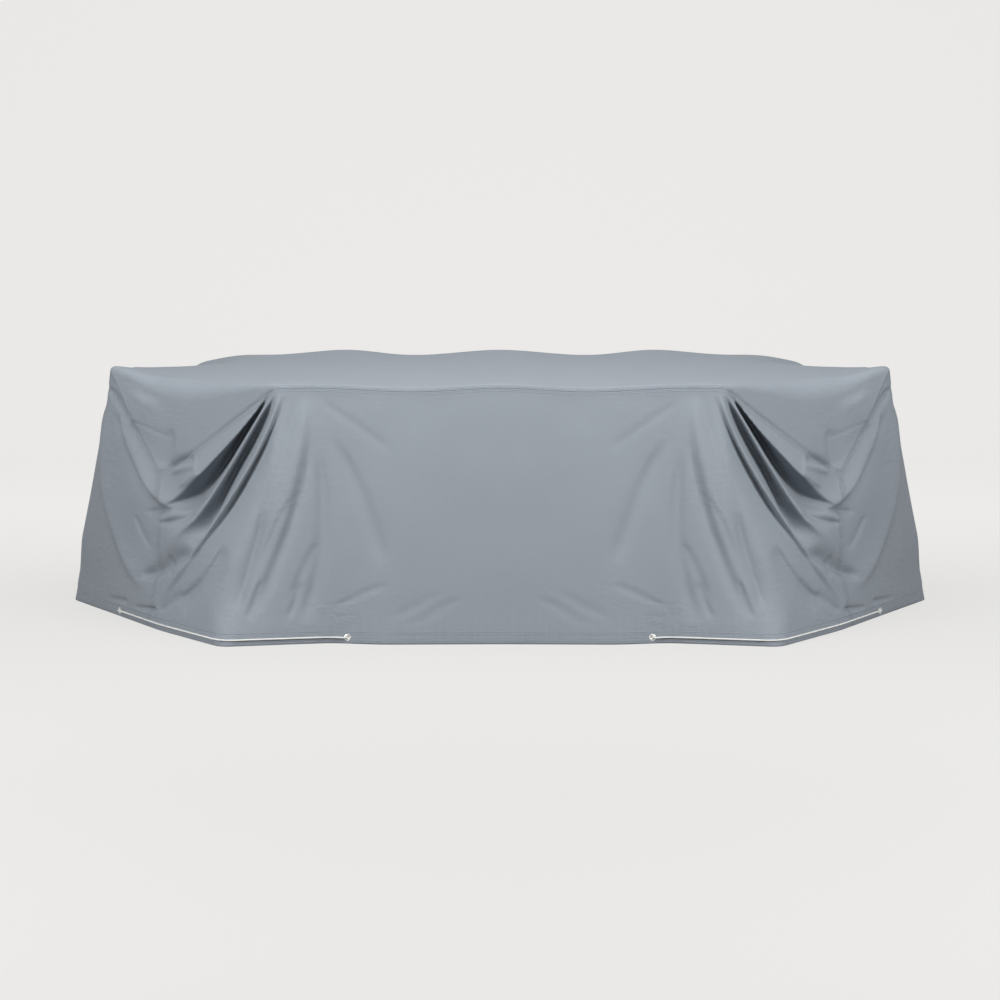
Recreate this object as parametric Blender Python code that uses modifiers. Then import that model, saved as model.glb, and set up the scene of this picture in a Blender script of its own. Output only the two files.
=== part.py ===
"""Patio furniture cover: five cloth panels sewn into a box, with eyelets and a drawcord in the hem.

The cover is modelled as it hangs. The top panel rests on a level outline and its corners droop as
flaps; the skirt runs from the top panel's border down to a hem that is drawn out and round. Folds
fan out below each flap. +X is the cover's right as seen from the front, +Y its back, +Z up, and
the origin is on the floor below the middle of the hem.
"""
import math

import bmesh
import bpy
import numpy as np
from mathutils import Matrix, Vector

# ---------------------------------------------------------------- driving dimensions, in metres
CLOTH = 0.002                # thickness of the cloth
SEAM_GAP = 0.0005            # clearance between neighbouring pieces

# The top panel as it is cut, laid flat over the place where it rests
HALF_LENGTH = 1.247
DEPTH = 1.220
FRONT_BORDER_Y = -0.681

# The level outline that the top rests on: half of it, from the front round to the back
REST_FRONT_Y = -0.670
REST_BACK_Y = 0.510
REST_CORNERS = (
    (0.670, REST_FRONT_Y),
    (1.232, -0.285),
    (1.232, 0.250),
    (1.060, REST_BACK_Y),
)
CORNER_RADIUS = 0.030        # rounding of that outline in plan
EDGE_RADIUS = 0.018          # rounding over its edge
FLAP_ROUND = 0.055           # what is added to it at the middle of a front flap
EDGE_TURN = math.radians(86) # how far the cloth turns down there
FLAP_TAKE_UP = 0.83          # a flap hangs this much of its length, its wrinkles take the rest
FLAP_PULL = 0.08             # a flap's drift along its edge, for each metre that it hangs

# The hem on the floor: half of its plan, from the front middle round to the back middle
HEM_PLAN = (
    (0.000, -0.808),
    (0.350, -0.815),
    (0.500, -0.790),
    (0.640, -0.815),
    (0.822, -0.850),
    (1.040, -0.597),
    (1.200, -0.368),
    (1.416, -0.060),
    (1.416, 0.060),
    (1.200, 0.380),
    (0.822, 0.845),
    (0.000, 0.845),
)
HALF_ROUND = 2.0 * HALF_LENGTH + DEPTH
HEM_ROUNDING = 0.030         # half the stretch over which a corner of the hem turns
WALL_ROUNDING = 0.150        # what is added to it at the skirt's top, near the corners
CALM_END = 0.300             # none is added this near the middle of an end,
CORNER_START = 0.650         # and all of it from this far on
CORNER_SEAM_DRIFT = 0.040    # how far a front corner seam bows towards the middle, half way down
CORNER_SEAM_REACH = 0.120    # stretch of the skirt on each side of it that drifts along
HEM_BAND = 0.036             # height of the turned-up hem
HEM_CALM = 0.045             # above the hem, the height over which the folds grow to their full depth
SEAM_CALM = 0.050            # below the top panel's border, the same
FOLD_CORE_X = 0.780          # folds stand out of a block of this half size and turn at its corners
FOLD_CORE_Y = 0.200
FRONT_FOLDS_FROM = -0.020    # folds of the front reach full depth from this y to FACE_BLEND before it,
BACK_FOLDS_FROM = 0.150      # those of the back from this y to FACE_BLEND behind it,
END_FOLDS_FROM = 1.160       # and those of the ends from this far out to END_BLEND beyond it
FACE_BLEND = 0.120
END_BLEND = 0.060
THICKEST_TURN = 1.300        # at a sharp turn the cloth is at most this many times as thick

# ---------------------------------------------------------------- relief of the top
TOP_FRONT_Z = 0.756
TOP_BACK_Z = 0.781
TOP_RELIEF = (  # place, x, y, height, spread along x, spread along y
    ("middle of the front edge", 0.000, -0.670, 0.006, 0.110, 0.200),
    ("dip in the front edge", 0.264, -0.670, -0.006, 0.110, 0.140),
    ("outer front edge", 0.560, -0.670, 0.006, 0.120, 0.140),
    ("front end corner", 1.232, -0.285, 0.028, 0.090, 0.100),
    ("middle of the end", 1.232, 0.000, -0.004, 0.140, 0.160),
    ("sag of the rear corner", 1.150, 0.370, -0.060, 0.120, 0.140),
    ("middle of the back edge", 0.000, 0.490, 0.018, 0.120, 0.100),
    ("outer back edge", 0.560, 0.490, 0.020, 0.100, 0.100),
    ("far back edge", 0.960, 0.490, 0.006, 0.100, 0.100),
)

# ---------------------------------------------------------------- pleats below each front flap
# A pleat line is a smooth curve through four places (distance from the middle, height), from the
# flap's inner corner down and out. Ridges stand out by height and valleys go in by it. The lines lie
# in order from the flap's seam to the front, and the cloth turns from each to the next: bend 2 is
# steep below a ridge, rise and fall are the shares of a line where it grows and fades.
PLEATS = (  # name, places, height, droop, bend below it, rise, fall
    ("seam", (0.680, 0.735), (0.790, 0.656), (0.910, 0.576), (1.032, 0.483), 0.0, 0.0, 1.3, 0.3, 0.3),
    ("lip", (0.683, 0.735), (0.775, 0.637), (0.876, 0.527), (0.985, 0.415), 0.020, 0.014, 2.2, 0.4, 0.3),
    ("pocket", (0.680, 0.733), (0.777, 0.600), (0.888, 0.466), (1.030, 0.374), -0.074, 0.0, 1.8, 0.5, 0.2),
    ("ridge 1", (0.673, 0.731), (0.791, 0.54), (0.912, 0.356), (1.08, 0.215), 0.02, 0.0, 1.7, 0.4, 0.2),
    ("valley 1", (0.664, 0.733), (0.743, 0.588), (0.829, 0.436), (0.895, 0.245), -0.042, 0.0, 1.5, 0.4, 0.1),
    ("ridge 2", (0.652, 0.733), (0.758, 0.495), (0.90, 0.285), (1.058, 0.075), 0.014, 0.0, 0.7, 0.4, 0.2),
    ("valley 2", (0.634, 0.735), (0.71, 0.566), (0.806, 0.4), (0.934, 0.213), -0.02, 0.0, 0.7, 0.4, 0.4),
    ("swell", (0.604, 0.737), (0.668, 0.505), (0.772, 0.288), (0.899, 0.082), 0.016, 0.0, 1.0, 0.4, 0.3),
)
SWELL_REACH = 0.070          # how far the swell fades towards the front's middle
LINE_STEPS = 60              # points along a line
LINE_OVERRUN = 0.250         # how far a pleat's line runs straight on past its ends, to part the cloth
RIDGE_RADIUS = 0.006

# ---------------------------------------------------------------- single folds
# A fold follows a smooth line through three places: on the front and back (distance from the
# middle, height), on an end (y, height). Its outer or upper side and its inner or lower side have
# their own widths. Crispness 2 is a soft fold and 1 a sharp crease.
FOLDS = (  # name, face, start, middle, end, outer width, inner width, height, crispness
    ("hooked valley", "front", (0.814, 0.293), (0.905, 0.195), (1.044, 0.055), 0.012, 0.026, -0.019, 1.6),
    ("fourth valley", "front", (0.596, 0.737), (0.690, 0.405), (0.801, 0.062), 0.030, 0.018, -0.020, 1.7),
    ("light band", "front", (0.578, 0.711), (0.605, 0.500), (0.674, 0.258), 0.020, 0.022, 0.008, 2.0),
    ("fifth valley", "front", (0.566, 0.604), (0.622, 0.346), (0.737, 0.064), 0.020, 0.020, -0.014, 1.8),
    ("sixth valley", "front", (0.545, 0.571), (0.529, 0.305), (0.589, 0.061), 0.016, 0.020, -0.012, 1.7),
    ("seventh valley", "front", (0.497, 0.600), (0.405, 0.410), (0.348, 0.229), 0.020, 0.022, -0.009, 1.9),
    ("flap's groove", "front", (1.228, 0.745), (1.187, 0.683), (1.144, 0.620), 0.020, 0.018, -0.026, 1.6),
    ("flap's facet", "front", (1.060, 0.735), (1.110, 0.680), (1.165, 0.610), 0.060, 0.040, 0.012, 1.8),
    ("flap's end", "front", (1.013, 0.610), (1.022, 0.545), (1.034, 0.478), 0.040, 0.010, -0.010, 1.7),
    ("mouth", "front", (1.034, 0.480), (0.978, 0.512), (0.921, 0.526), 0.003, 0.009, -0.013, 1.4),
    ("end ridge", "front", (1.209, 0.660), (1.120, 0.462), (0.975, 0.352), 0.012, 0.030, 0.018, 1.4),
    ("end hollow", "front", (1.222, 0.670), (1.160, 0.510), (1.085, 0.372), 0.020, 0.014, -0.012, 1.8),
    ("flat end's edge", "front", (1.247, 0.690), (1.240, 0.330), (1.107, 0.105), 0.014, 0.030, 0.012, 1.4),
    ("upper swag", "front", (1.101, 0.343), (1.020, 0.359), (0.907, 0.399), 0.006, 0.012, -0.012, 1.5),
    ("middle swag", "front", (1.040, 0.322), (0.980, 0.334), (0.914, 0.361), 0.006, 0.012, -0.014, 1.5),
    ("lower swag", "front", (1.118, 0.140), (1.030, 0.182), (0.926, 0.253), 0.010, 0.026, -0.022, 1.6),
    ("lower hem crease", "front", (1.180, 0.056), (1.110, 0.058), (1.045, 0.070), 0.004, 0.010, -0.014, 1.4),
    ("rear lip", "back", (0.99, 0.70), (1.06, 0.60), (1.13, 0.52), 0.030, 0.020, 0.008, 1.8),
    ("rear pocket", "back", (0.98, 0.69), (1.06, 0.54), (1.15, 0.44), 0.024, 0.034, -0.018, 1.9),
    ("rear ridge", "back", (0.965, 0.72), (1.04, 0.45), (1.16, 0.16), 0.020, 0.018, 0.014, 1.5),
    ("rear valley", "back", (0.94, 0.72), (0.985, 0.43), (1.07, 0.12), 0.024, 0.034, -0.016, 1.8),
    ("rear swell", "back", (0.89, 0.73), (0.90, 0.43), (0.93, 0.10), 0.040, 0.040, 0.014, 2.0),
    ("rear fold", "back", (0.82, 0.73), (0.81, 0.42), (0.79, 0.08), 0.028, 0.030, -0.016, 2.0),
    ("long back fold", "back", (0.56, 0.74), (0.53, 0.40), (0.52, 0.07), 0.040, 0.050, -0.014, 2.0),
    ("slight back fold", "back", (0.25, 0.72), (0.23, 0.45), (0.19, 0.20), 0.040, 0.050, -0.010, 2.0),
    ("rear end ridge", "end", (0.255, 0.72), (0.30, 0.50), (0.33, 0.30), 0.030, 0.030, 0.014, 1.9),
    ("end's sag", "end", (0.16, 0.70), (0.16, 0.40), (0.16, 0.15), 0.060, 0.060, -0.012, 2.0),
    ("end's belly", "end", (-0.16, 0.70), (-0.12, 0.42), (-0.06, 0.10), 0.140, 0.140, 0.018, 2.0),
)
FOLD_NARROW = 0.500          # width of a fold where it starts, as a share of its full width
FOLD_FADE = 0.240            # share of a fold's line over which it grows from its start, and to its end
FOLD_RADIUS = 0.003

# ---------------------------------------------------------------- eyelets and drawcord
FRONT_EYELET_ALONG = 0.449   # places of the eyelets, measured along the border
END_EYELET_DEPTH = 0.200
END_EYELET_ALONG = HALF_LENGTH + END_EYELET_DEPTH
EYELET_FIELD = 0.022         # half the width of the flat stretch of hem that an eyelet sits on
EYELET_RADIUS = 0.0105
EYELET_HOLE_RADIUS = 0.0048
EYELET_BARREL_RADIUS = 0.0060
EYELET_CROWN = 0.0016        # height of its flange over the cloth
EYELET_COLLAR_RADIUS = 0.0092
EYELET_COLLAR = 0.0010       # thickness of the collar behind the cloth
EYELET_SIDES = 12
EYELET_CUT = 0.012           # length of the cylinder that cuts its hole

CORD_DIAMETER = 0.005
CORD_SPACING = 0.0125        # distance between the points of the cord's tube
CORD_HEIGHT = 0.018          # height of its middle line, the eyelets' own
CORD_CLEAR = 0.0040          # distance of its middle line from the cloth
CORD_ENDS = (  # at an eyelet, how far it has run along the hem and how far out it is by then
    (0.0000, -0.0080),
    (0.0000, 0.0000),
    (0.0010, 0.0050),
    (0.0060, 0.0078),
    (0.0150, 0.0075),
    (0.0290, 0.0054),
    (0.0480, CORD_CLEAR),
)
CORD_PLACES = 24             # places along the hem between its ends

# ---------------------------------------------------------------- finishes: colour, roughness, metallic
CLOTH_FINISH = ((0.270, 0.305, 0.345), 0.75, 0.0)
EYELET_FINISH = ((0.72, 0.71, 0.69), 0.30, 1.0)
CORD_FINISH = ((0.80, 0.80, 0.78), 0.80, 0.0)

# ---------------------------------------------------------------- the panels' grids
# Columns of the front, back and top panels (from, to, number), from the middle to one end
LENGTH_COLUMNS = (
    (0.000, 0.330, 2),
    (0.330, FRONT_EYELET_ALONG - EYELET_FIELD, 2),
    (FRONT_EYELET_ALONG - EYELET_FIELD, FRONT_EYELET_ALONG + EYELET_FIELD, 1),
    (FRONT_EYELET_ALONG + EYELET_FIELD, 0.560, 3),
    (0.560, 0.660, 1),
    (0.660, HALF_LENGTH, 10),
)
# Columns of the end panels and rows of the top panel, from the front border to the back one
DEPTH_COLUMNS = (
    (0.000, END_EYELET_DEPTH - EYELET_FIELD, 3),
    (END_EYELET_DEPTH - EYELET_FIELD, END_EYELET_DEPTH + EYELET_FIELD, 1),
    (END_EYELET_DEPTH + EYELET_FIELD, 0.420, 3),
    (0.420, 0.900, 4),
    (0.900, DEPTH, 4),
)
SKIRT_ROWS = 11              # rows above the hem's own row
FINER_TIMES = 3              # how often an edge is halved where the cloth bends away from it
CHORD_ERROR = 0.0045          # distance between edge and cloth that calls for that


def ease(value):
    """Smooth step from 0 to 1."""
    value = np.clip(value, 0.0, 1.0)
    return value * value * (3.0 - 2.0 * value)


# ---------------------------------------------------------------- shape of the top panel
def rest_core():
    """The resting outline drawn in by its corner radius, and the direction out of each of its edges."""
    ends = ((0.0, REST_FRONT_Y), (0.0, REST_BACK_Y))
    corners = [np.array(corner) for corner in (ends[0],) + REST_CORNERS + (ends[1],)]
    normals = []
    for start, end in zip(corners[:-1], corners[1:]):
        along = (end - start) / np.linalg.norm(end - start)
        normals.append(np.array((along[1], -along[0])))
    core = [corners[0] - normals[0] * CORNER_RADIUS]
    for corner, before, after in zip(corners[1:-1], normals[:-1], normals[1:]):
        core.append(corner - (before + after) / (1.0 + before @ after) * CORNER_RADIUS)
    core.append(corners[-1] - normals[-1] * CORNER_RADIUS)
    return core, normals


REST_CORE, REST_NORMALS = rest_core()


def from_rest(place):
    """Nearest points of the core, directions out of it and distances beyond the resting edge."""
    nearest = np.zeros_like(place)
    outward = np.zeros_like(place)
    distance = np.full(len(place), np.inf)
    inside = np.full(len(place), True)
    for start, end, normal in zip(REST_CORE[:-1], REST_CORE[1:], REST_NORMALS):
        edge = end - start
        share = np.clip((place - start) @ edge / (edge @ edge), 0.0, 1.0)
        point = start + share[:, None] * edge
        gap = np.linalg.norm(place - point, axis=1)
        closer = gap < distance
        distance = np.where(closer, gap, distance)
        nearest[closer] = point[closer]
        outward[closer] = normal
        inside &= (place - start) @ normal < 0.0
    clear = (distance > 1e-6) & ~inside
    outward[clear] = (place[clear] - nearest[clear]) / distance[clear, None]
    return nearest, outward, np.where(inside, -distance, distance) - CORNER_RADIUS


def top_height(x, y):
    """Height of the resting top at places in plan."""
    rise = ease((y - REST_FRONT_Y) / (REST_BACK_Y - REST_FRONT_Y))
    height = TOP_FRONT_Z + (TOP_BACK_Z - TOP_FRONT_Z) * rise
    for _, centre_x, centre_y, bump, spread_x, spread_y in TOP_RELIEF:
        reach = ((x - centre_x) / spread_x) ** 2 + ((y - centre_y) / spread_y) ** 2
        height = height + bump * np.exp(-reach / 2.0)
    return height


def top_points(x, y):
    """Where places of the flat top panel come to lie, and how far each hangs over the edge."""
    place = np.column_stack((x, y))
    nearest, outward, beyond = from_rest(place)
    share = (nearest[:, 0] - REST_CORNERS[0][0]) / (REST_CORNERS[1][0] - REST_CORNERS[0][0])
    radius = EDGE_RADIUS + FLAP_ROUND * np.sin(math.pi * np.clip(share, 0.0, 1.0)) ** 2 * (y < 0.0)
    half_turn = radius * EDGE_TURN / 2.0
    turned = np.clip((beyond + half_turn) / radius, 0.0, EDGE_TURN)
    hanging = np.maximum(beyond - half_turn, 0.0)
    reach = CORNER_RADIUS + np.minimum(beyond, -half_turn)
    reach = reach + radius * np.sin(turned) + hanging * math.cos(EDGE_TURN)
    aside = np.column_stack((-outward[:, 1], outward[:, 0])) * (FLAP_PULL * hanging)[:, None]
    level = (beyond < -half_turn)[:, None]
    plan = np.where(level, place, nearest + outward * reach[:, None] - aside)
    to_edge = CORNER_RADIUS + np.minimum(beyond, 0.0)
    edge = np.where(level, place, nearest + outward * to_edge[:, None])
    drop = radius * (1.0 - np.cos(turned)) + hanging * math.sin(EDGE_TURN) * FLAP_TAKE_UP
    return np.column_stack((plan, top_height(edge[:, 0], edge[:, 1]) - drop)), hanging


# ---------------------------------------------------------------- shape of the skirt
def border_places(along):
    """Places on the flat top panel's border, measured from the front middle round one side."""
    x = np.minimum(along, HALF_LENGTH) - np.maximum(along - HALF_LENGTH - DEPTH, 0.0)
    y = FRONT_BORDER_Y + np.clip(along - HALF_LENGTH, 0.0, DEPTH)
    return x, y


def hem_places(along, rounding):
    """Plan of the hem under those places of the border, its corners turned over twice the rounding."""
    corners = np.array(HEM_PLAN)
    turns = np.concatenate(([0.0], np.cumsum(np.linalg.norm(np.diff(corners, axis=0), axis=1))))
    reached = along * turns[-1] / HALF_ROUND
    plan = np.zeros((len(along), 2))
    steps = np.linspace(-1.0, 1.0, 15)
    for step in steps:
        place = reached + step * rounding
        plan[:, 0] += np.interp(place, turns, corners[:, 0]) / len(steps)
        plan[:, 1] += np.interp(place, turns, corners[:, 1]) / len(steps)
    to_middle = np.minimum(reached, turns[-1] - reached)
    plan[:, 0] = np.where(to_middle < rounding, to_middle, plan[:, 0])
    return plan


def straight_skirt(along, height):
    """The skirt without its folds, straight from the border down to the hem, at given heights."""
    seam, _ = top_points(*border_places(along))
    share = np.clip(height / seam[:, 2], 0.0, 1.0)
    nearness = np.exp(-((along - HALF_LENGTH) / CORNER_SEAM_REACH) ** 2)
    along = along - CORNER_SEAM_DRIFT * nearness * 4.0 * share * (1.0 - share)
    seam, hanging = top_points(*border_places(along))
    to_end = np.abs(along - HALF_ROUND / 2.0)
    by_corner = ease((to_end - CALM_END) / (CORNER_START - CALM_END))
    rounding = HEM_ROUNDING + WALL_ROUNDING * (1.0 - (1.0 - share) ** 3) * by_corner
    hem = np.column_stack((hem_places(along, rounding), np.zeros(len(along))))
    share = np.clip(height / seam[:, 2], 0.0, 1.0)[:, None]
    return hem + (seam - hem) * share, seam[:, 2], hanging


# ---------------------------------------------------------------- folds
def outward_of(points):
    """Level directions out of the cover, which turn smoothly round its corners."""
    x = np.sign(points[:, 0]) * np.maximum(np.abs(points[:, 0]) - FOLD_CORE_X, 0.0)
    y = np.sign(points[:, 1]) * np.maximum(np.abs(points[:, 1]) - FOLD_CORE_Y, 0.0)
    length = np.maximum(np.hypot(x, y), 1e-9)
    return np.column_stack((x / length, y / length, np.zeros(len(points))))


def curve_through(places, steps):
    """Points of a smooth curve through three or four places, evenly spaced in its own share."""
    knots = np.linspace(0.0, 1.0, len(places))
    share = np.linspace(0.0, 1.0, steps)
    curve = np.zeros((steps, 2))
    for k, place in enumerate(places):
        others = np.delete(knots, k)
        weight = np.prod([(share - other) / (knots[k] - other) for other in others], axis=0)
        curve += weight[:, None] * np.array(place)
    return curve


def nearest_on(line, across, height):
    """Nearest place on a line, in its steps, the distance to it, and 1 on its outer side, else -1."""
    chosen = np.zeros(len(across), dtype=int)
    for part in np.array_split(np.arange(len(across)), max(1, len(across) // 20000)):
        gap = (across[part, None] - line[:, 0]) ** 2 + (height[part, None] - line[:, 1]) ** 2
        chosen[part] = np.argmin(gap, axis=1)
    run = np.gradient(line, axis=0)[chosen]
    offset = np.column_stack((across, height)) - line[chosen]
    length = np.linalg.norm(run, axis=1)
    onward = np.sum(offset * run, axis=1) / length
    side = (run[:, 0] * offset[:, 1] - run[:, 1] * offset[:, 0]) / length
    step = chosen + np.clip(onward / length, -0.5, 0.5)
    step = np.clip(step, 0.0, len(line) - 1.0)
    past = np.maximum(np.abs(onward) - length * 0.5, 0.0)
    return step, np.hypot(side, past), np.where(side > 0.0, 1.0, -1.0)


def pleat_reach(across, height):
    """How far out and how far down the pleats move places of the front."""
    rows = []
    for name, *places, rise_height, droop, bend, rise, fall in PLEATS:
        curve = curve_through(places, LINE_STEPS)
        first = curve[0] - curve[1]
        last = curve[-1] - curve[-2]
        beyond = LINE_OVERRUN * np.linspace(0.02, 1.0, 12)[:, None]
        before = curve[0] + first / np.linalg.norm(first) * beyond[::-1]
        after = curve[-1] + last / np.linalg.norm(last) * beyond
        step, distance, side = nearest_on(np.vstack((before, curve, after)), across, height)
        distance = np.hypot(distance, RIDGE_RADIUS) - RIDGE_RADIUS
        share = np.clip((step - len(before)) / (LINE_STEPS - 1.0), 0.0, 1.0)
        grown = 1.0 - (1.0 - np.minimum(share / rise, 1.0)) ** 2
        grown = grown * ease((1.0 - share) / fall)
        rows.append((distance, side, rise_height * grown, droop * grown, rise_height, bend))
    out = np.zeros(len(across))
    down = np.zeros(len(across))
    for upper, lower in zip(rows[:-1], rows[1:]):
        below = upper[1] < 0.0
        share = upper[0] / np.maximum(upper[0] + lower[0], 1e-9)
        bend = upper[5]
        if upper[4] > lower[4]:
            share = 1.0 - (1.0 - share) ** bend
        else:
            share = share ** bend
        out = np.where(below, upper[2] + (lower[2] - upper[2]) * share, out)
        down = np.where(below, upper[3] + (lower[3] - upper[3]) * share, down)
    distance, side, grown = rows[-1][:3]
    return np.where(side < 0.0, grown * np.exp(-(distance / SWELL_REACH) ** 2), out), down


def fold_reach(across, height, fold):
    """How much of one fold reaches places of its face, from 0 beside it to 1 on its line."""
    _, _, start, middle, end, outer_width, inner_width, _, crispness = fold
    line = curve_through((start, middle, end), LINE_STEPS)
    near = np.max([outer_width, inner_width]) * 4.0
    low, high = line.min(axis=0) - near, line.max(axis=0) + near
    shape = np.zeros(len(across))
    close = (across > low[0]) & (across < high[0]) & (height > low[1]) & (height < high[1])
    if not close.any():
        return shape
    step, distance, side = nearest_on(line, across[close], height[close])
    distance = np.hypot(distance, FOLD_RADIUS) - FOLD_RADIUS
    share = step / (LINE_STEPS - 1.0)
    width = np.where(side > 0.0, outer_width, inner_width)
    width = width * (FOLD_NARROW + (1.0 - FOLD_NARROW) * ease(2.0 * share))
    reach = np.exp(-(distance / width) ** crispness)
    shape[close] = reach * ease(share / FOLD_FADE + 0.2) * ease((1.0 - share) / FOLD_FADE + 0.2)
    return shape


def folded(points, weight):
    """The points moved out and down by the pleats and folds, as much as weight says."""
    distance = np.abs(points[:, 0])
    front = ease((FRONT_FOLDS_FROM - points[:, 1]) / FACE_BLEND)
    faces = {
        "front": (distance, front),
        "end": (points[:, 1], ease((distance - END_FOLDS_FROM) / END_BLEND)),
        "back": (distance, ease((points[:, 1] - BACK_FOLDS_FROM) / FACE_BLEND)),
    }
    out, down = pleat_reach(distance, points[:, 2])
    out, down = out * front, down * front
    for fold in FOLDS:
        across, share = faces[fold[1]]
        out += fold[7] * fold_reach(across, points[:, 2], fold) * share
    weight = weight * ease((points[:, 2] - HEM_BAND) / HEM_CALM)
    moved = points + outward_of(points) * (out * weight)[:, None]
    moved[:, 2] -= down * weight
    return moved


def draped_top(x, y):
    """The top panel with its flaps' folds, at places of the flat panel."""
    points, hanging = top_points(x, y)
    return folded(points, ease(hanging / SEAM_CALM))


def draped_skirt(along, row):
    """The skirt with its folds; the rows are evenly spaced above the hem, which is the last one."""
    seam, hanging = top_points(*border_places(along))
    seam_height = seam[:, 2]
    height = HEM_BAND + (seam_height - HEM_BAND) * (1.0 - row / SKIRT_ROWS)
    height = np.where(row > SKIRT_ROWS, HEM_BAND * (SKIRT_ROWS + 1.0 - row), height)
    points, _, _ = straight_skirt(along, height)
    weight = np.maximum(ease(hanging / SEAM_CALM), ease((seam_height - height) / SEAM_CALM))
    return folded(points, weight)


# ---------------------------------------------------------------- the whole cover, cut along its seams
PANELS = ("top_panel", "front_panel", "right_end_panel", "back_panel", "left_end_panel")
TOP, FRONT, RIGHT_END, BACK, LEFT_END = range(len(PANELS))


def column_places(sections):
    """Places of the columns of a list of sections."""
    places = [sections[0][0]]
    for start, end, count in sections:
        places.extend(start + (end - start) * (k + 1) / count for k in range(count))
    return places


def on_both_sides(drape):
    """A drape of one side's places, made to take places left and right of the middle."""
    def both(first, second):
        points = drape(np.abs(first), second)
        points[:, 0] *= np.where(first < 0.0, -1.0, 1.0)
        return points
    return both


def lay(bm, drape):
    """Move the points of a grid to where their places come to lie."""
    place = bm.verts.layers.float_vector["place"]
    points = drape(*np.array([vert[place] for vert in bm.verts]).T[:2])
    for vert, point in zip(bm.verts, points):
        vert.co = point


def cut_finer(bm, drape):
    """Halve the edges of a grid where the cloth bends away from them."""
    place = bm.verts.layers.float_vector["place"]
    ends = np.array([[(*vert[place], *vert.co) for vert in edge.verts] for edge in bm.edges])
    bend = np.zeros(len(ends))
    for share in (0.25, 0.5, 0.75):
        between = ends[:, 0] * (1.0 - share) + ends[:, 1] * share
        on_cloth = drape(between[:, 0], between[:, 1])
        bend = np.maximum(bend, np.linalg.norm(on_cloth - between[:, 3:], axis=1))
    bent = [edge for edge, distance in zip(bm.edges[:], bend) if distance > CHORD_ERROR]
    bmesh.ops.subdivide_edges(bm, edges=bent, cuts=1, use_grid_fill=True)


def add_grid(whole, panel, columns, rows, drape):
    """A draped panel, with its number on its faces, added to the whole cover.

    It starts as a flat grid, and each of its points keeps its place there while edges are halved.
    """
    steps_x, steps_y = len(columns) - 1, len(rows) - 1
    bm = bmesh.new()
    bmesh.ops.create_grid(bm, x_segments=steps_x, y_segments=steps_y, size=0.5)
    place = bm.verts.layers.float_vector.new("place")
    for vert in bm.verts:
        column = round((vert.co.x + 0.5) * steps_x)
        row = round((vert.co.y + 0.5) * steps_y)
        vert[place] = (columns[column], rows[row], 0.0)
    lay(bm, drape)
    for _ in range(FINER_TIMES):
        cut_finer(bm, drape)
        lay(bm, drape)
    bmesh.ops.triangulate(bm, faces=bm.faces[:], quad_method="SHORT_EDGE")
    for face in bm.faces:
        face.material_index = panel
    mesh = bpy.data.meshes.new("panel")
    bm.to_mesh(mesh)
    bm.free()
    whole.from_mesh(mesh)
    bpy.data.meshes.remove(mesh)


def whole_cover():
    """The outer surface of the whole cover, with its panel's number on each face."""
    bm = bmesh.new()
    half = column_places(LENGTH_COLUMNS)
    length = [-place for place in reversed(half[1:])] + half
    depth = column_places(DEPTH_COLUMNS)
    rows = [float(row) for row in range(SKIRT_ROWS + 2)]
    skirt = on_both_sides(draped_skirt)
    add_grid(bm, TOP, length, [FRONT_BORDER_Y + place for place in depth], on_both_sides(draped_top))
    add_grid(bm, FRONT, length, rows, skirt)
    add_grid(bm, BACK, length, rows, on_both_sides(lambda x, row: draped_skirt(HALF_ROUND - x, row)))
    for panel, side in ((RIGHT_END, 1.0), (LEFT_END, -1.0)):
        add_grid(bm, panel, [side * (HALF_LENGTH + place) for place in depth], rows, skirt)
    bmesh.ops.remove_doubles(bm, verts=bm.verts[:], dist=1e-5)
    bmesh.ops.recalc_face_normals(bm, faces=bm.faces[:])
    return bm


def mark_seams(bm):
    """Note on each point its direction out of the cloth, and on each edge whether it is sewn.

    Both panels at a seam share those directions, so their edges face each other square.
    """
    outward = bm.verts.layers.float_vector.new("outward")
    sewn = bm.edges.layers.int.new("sewn")
    bm.normal_update()
    for vert in bm.verts:
        direction = vert.normal.copy()
        if vert.is_boundary:
            direction.z = 0.0
        vert[outward] = direction.normalized() * min(vert.calc_shell_factor(), THICKEST_TURN)
    for edge in bm.edges:
        edge[sewn] = len({face.material_index for face in edge.link_faces}) - 1


def draw_back(bm):
    """Move the sewn borders of a panel into it, by half the gap that a seam keeps."""
    outward = bm.verts.layers.float_vector["outward"]
    sewn = bm.edges.layers.int["sewn"]
    moves = []
    for vert in bm.verts:
        inward = []
        for edge in vert.link_edges:
            if edge.is_boundary and edge[sewn]:
                along = edge.other_vert(vert).co - vert.co
                direction = along.cross(vert[outward]).normalized()
                towards = edge.link_faces[0].calc_center_median() - vert.co
                inward.append(direction if direction.dot(towards) > 0.0 else -direction)
        if inward:
            spread = 1.0 + inward[0].dot(inward[-1]) if len(inward) > 1 else 1.0
            moves.append((vert, sum(inward, Vector()) / spread * SEAM_GAP / 2.0))
    for vert, move in moves:
        vert.co += move


def thicken(bm):
    """Give the cloth its thickness, inward from the outer surface, along the directions shared at seams.

    The Solidify modifier would take each panel's own directions, and the panels would cross at a seam.
    """
    outward = bm.verts.layers.float_vector["outward"]
    layer = bmesh.ops.extrude_face_region(bm, geom=bm.faces[:], use_keep_orig=True)["geom"]
    for item in layer:
        if isinstance(item, bmesh.types.BMVert):
            item.co -= item[outward] * CLOTH
    bmesh.ops.recalc_face_normals(bm, faces=bm.faces[:])


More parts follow.
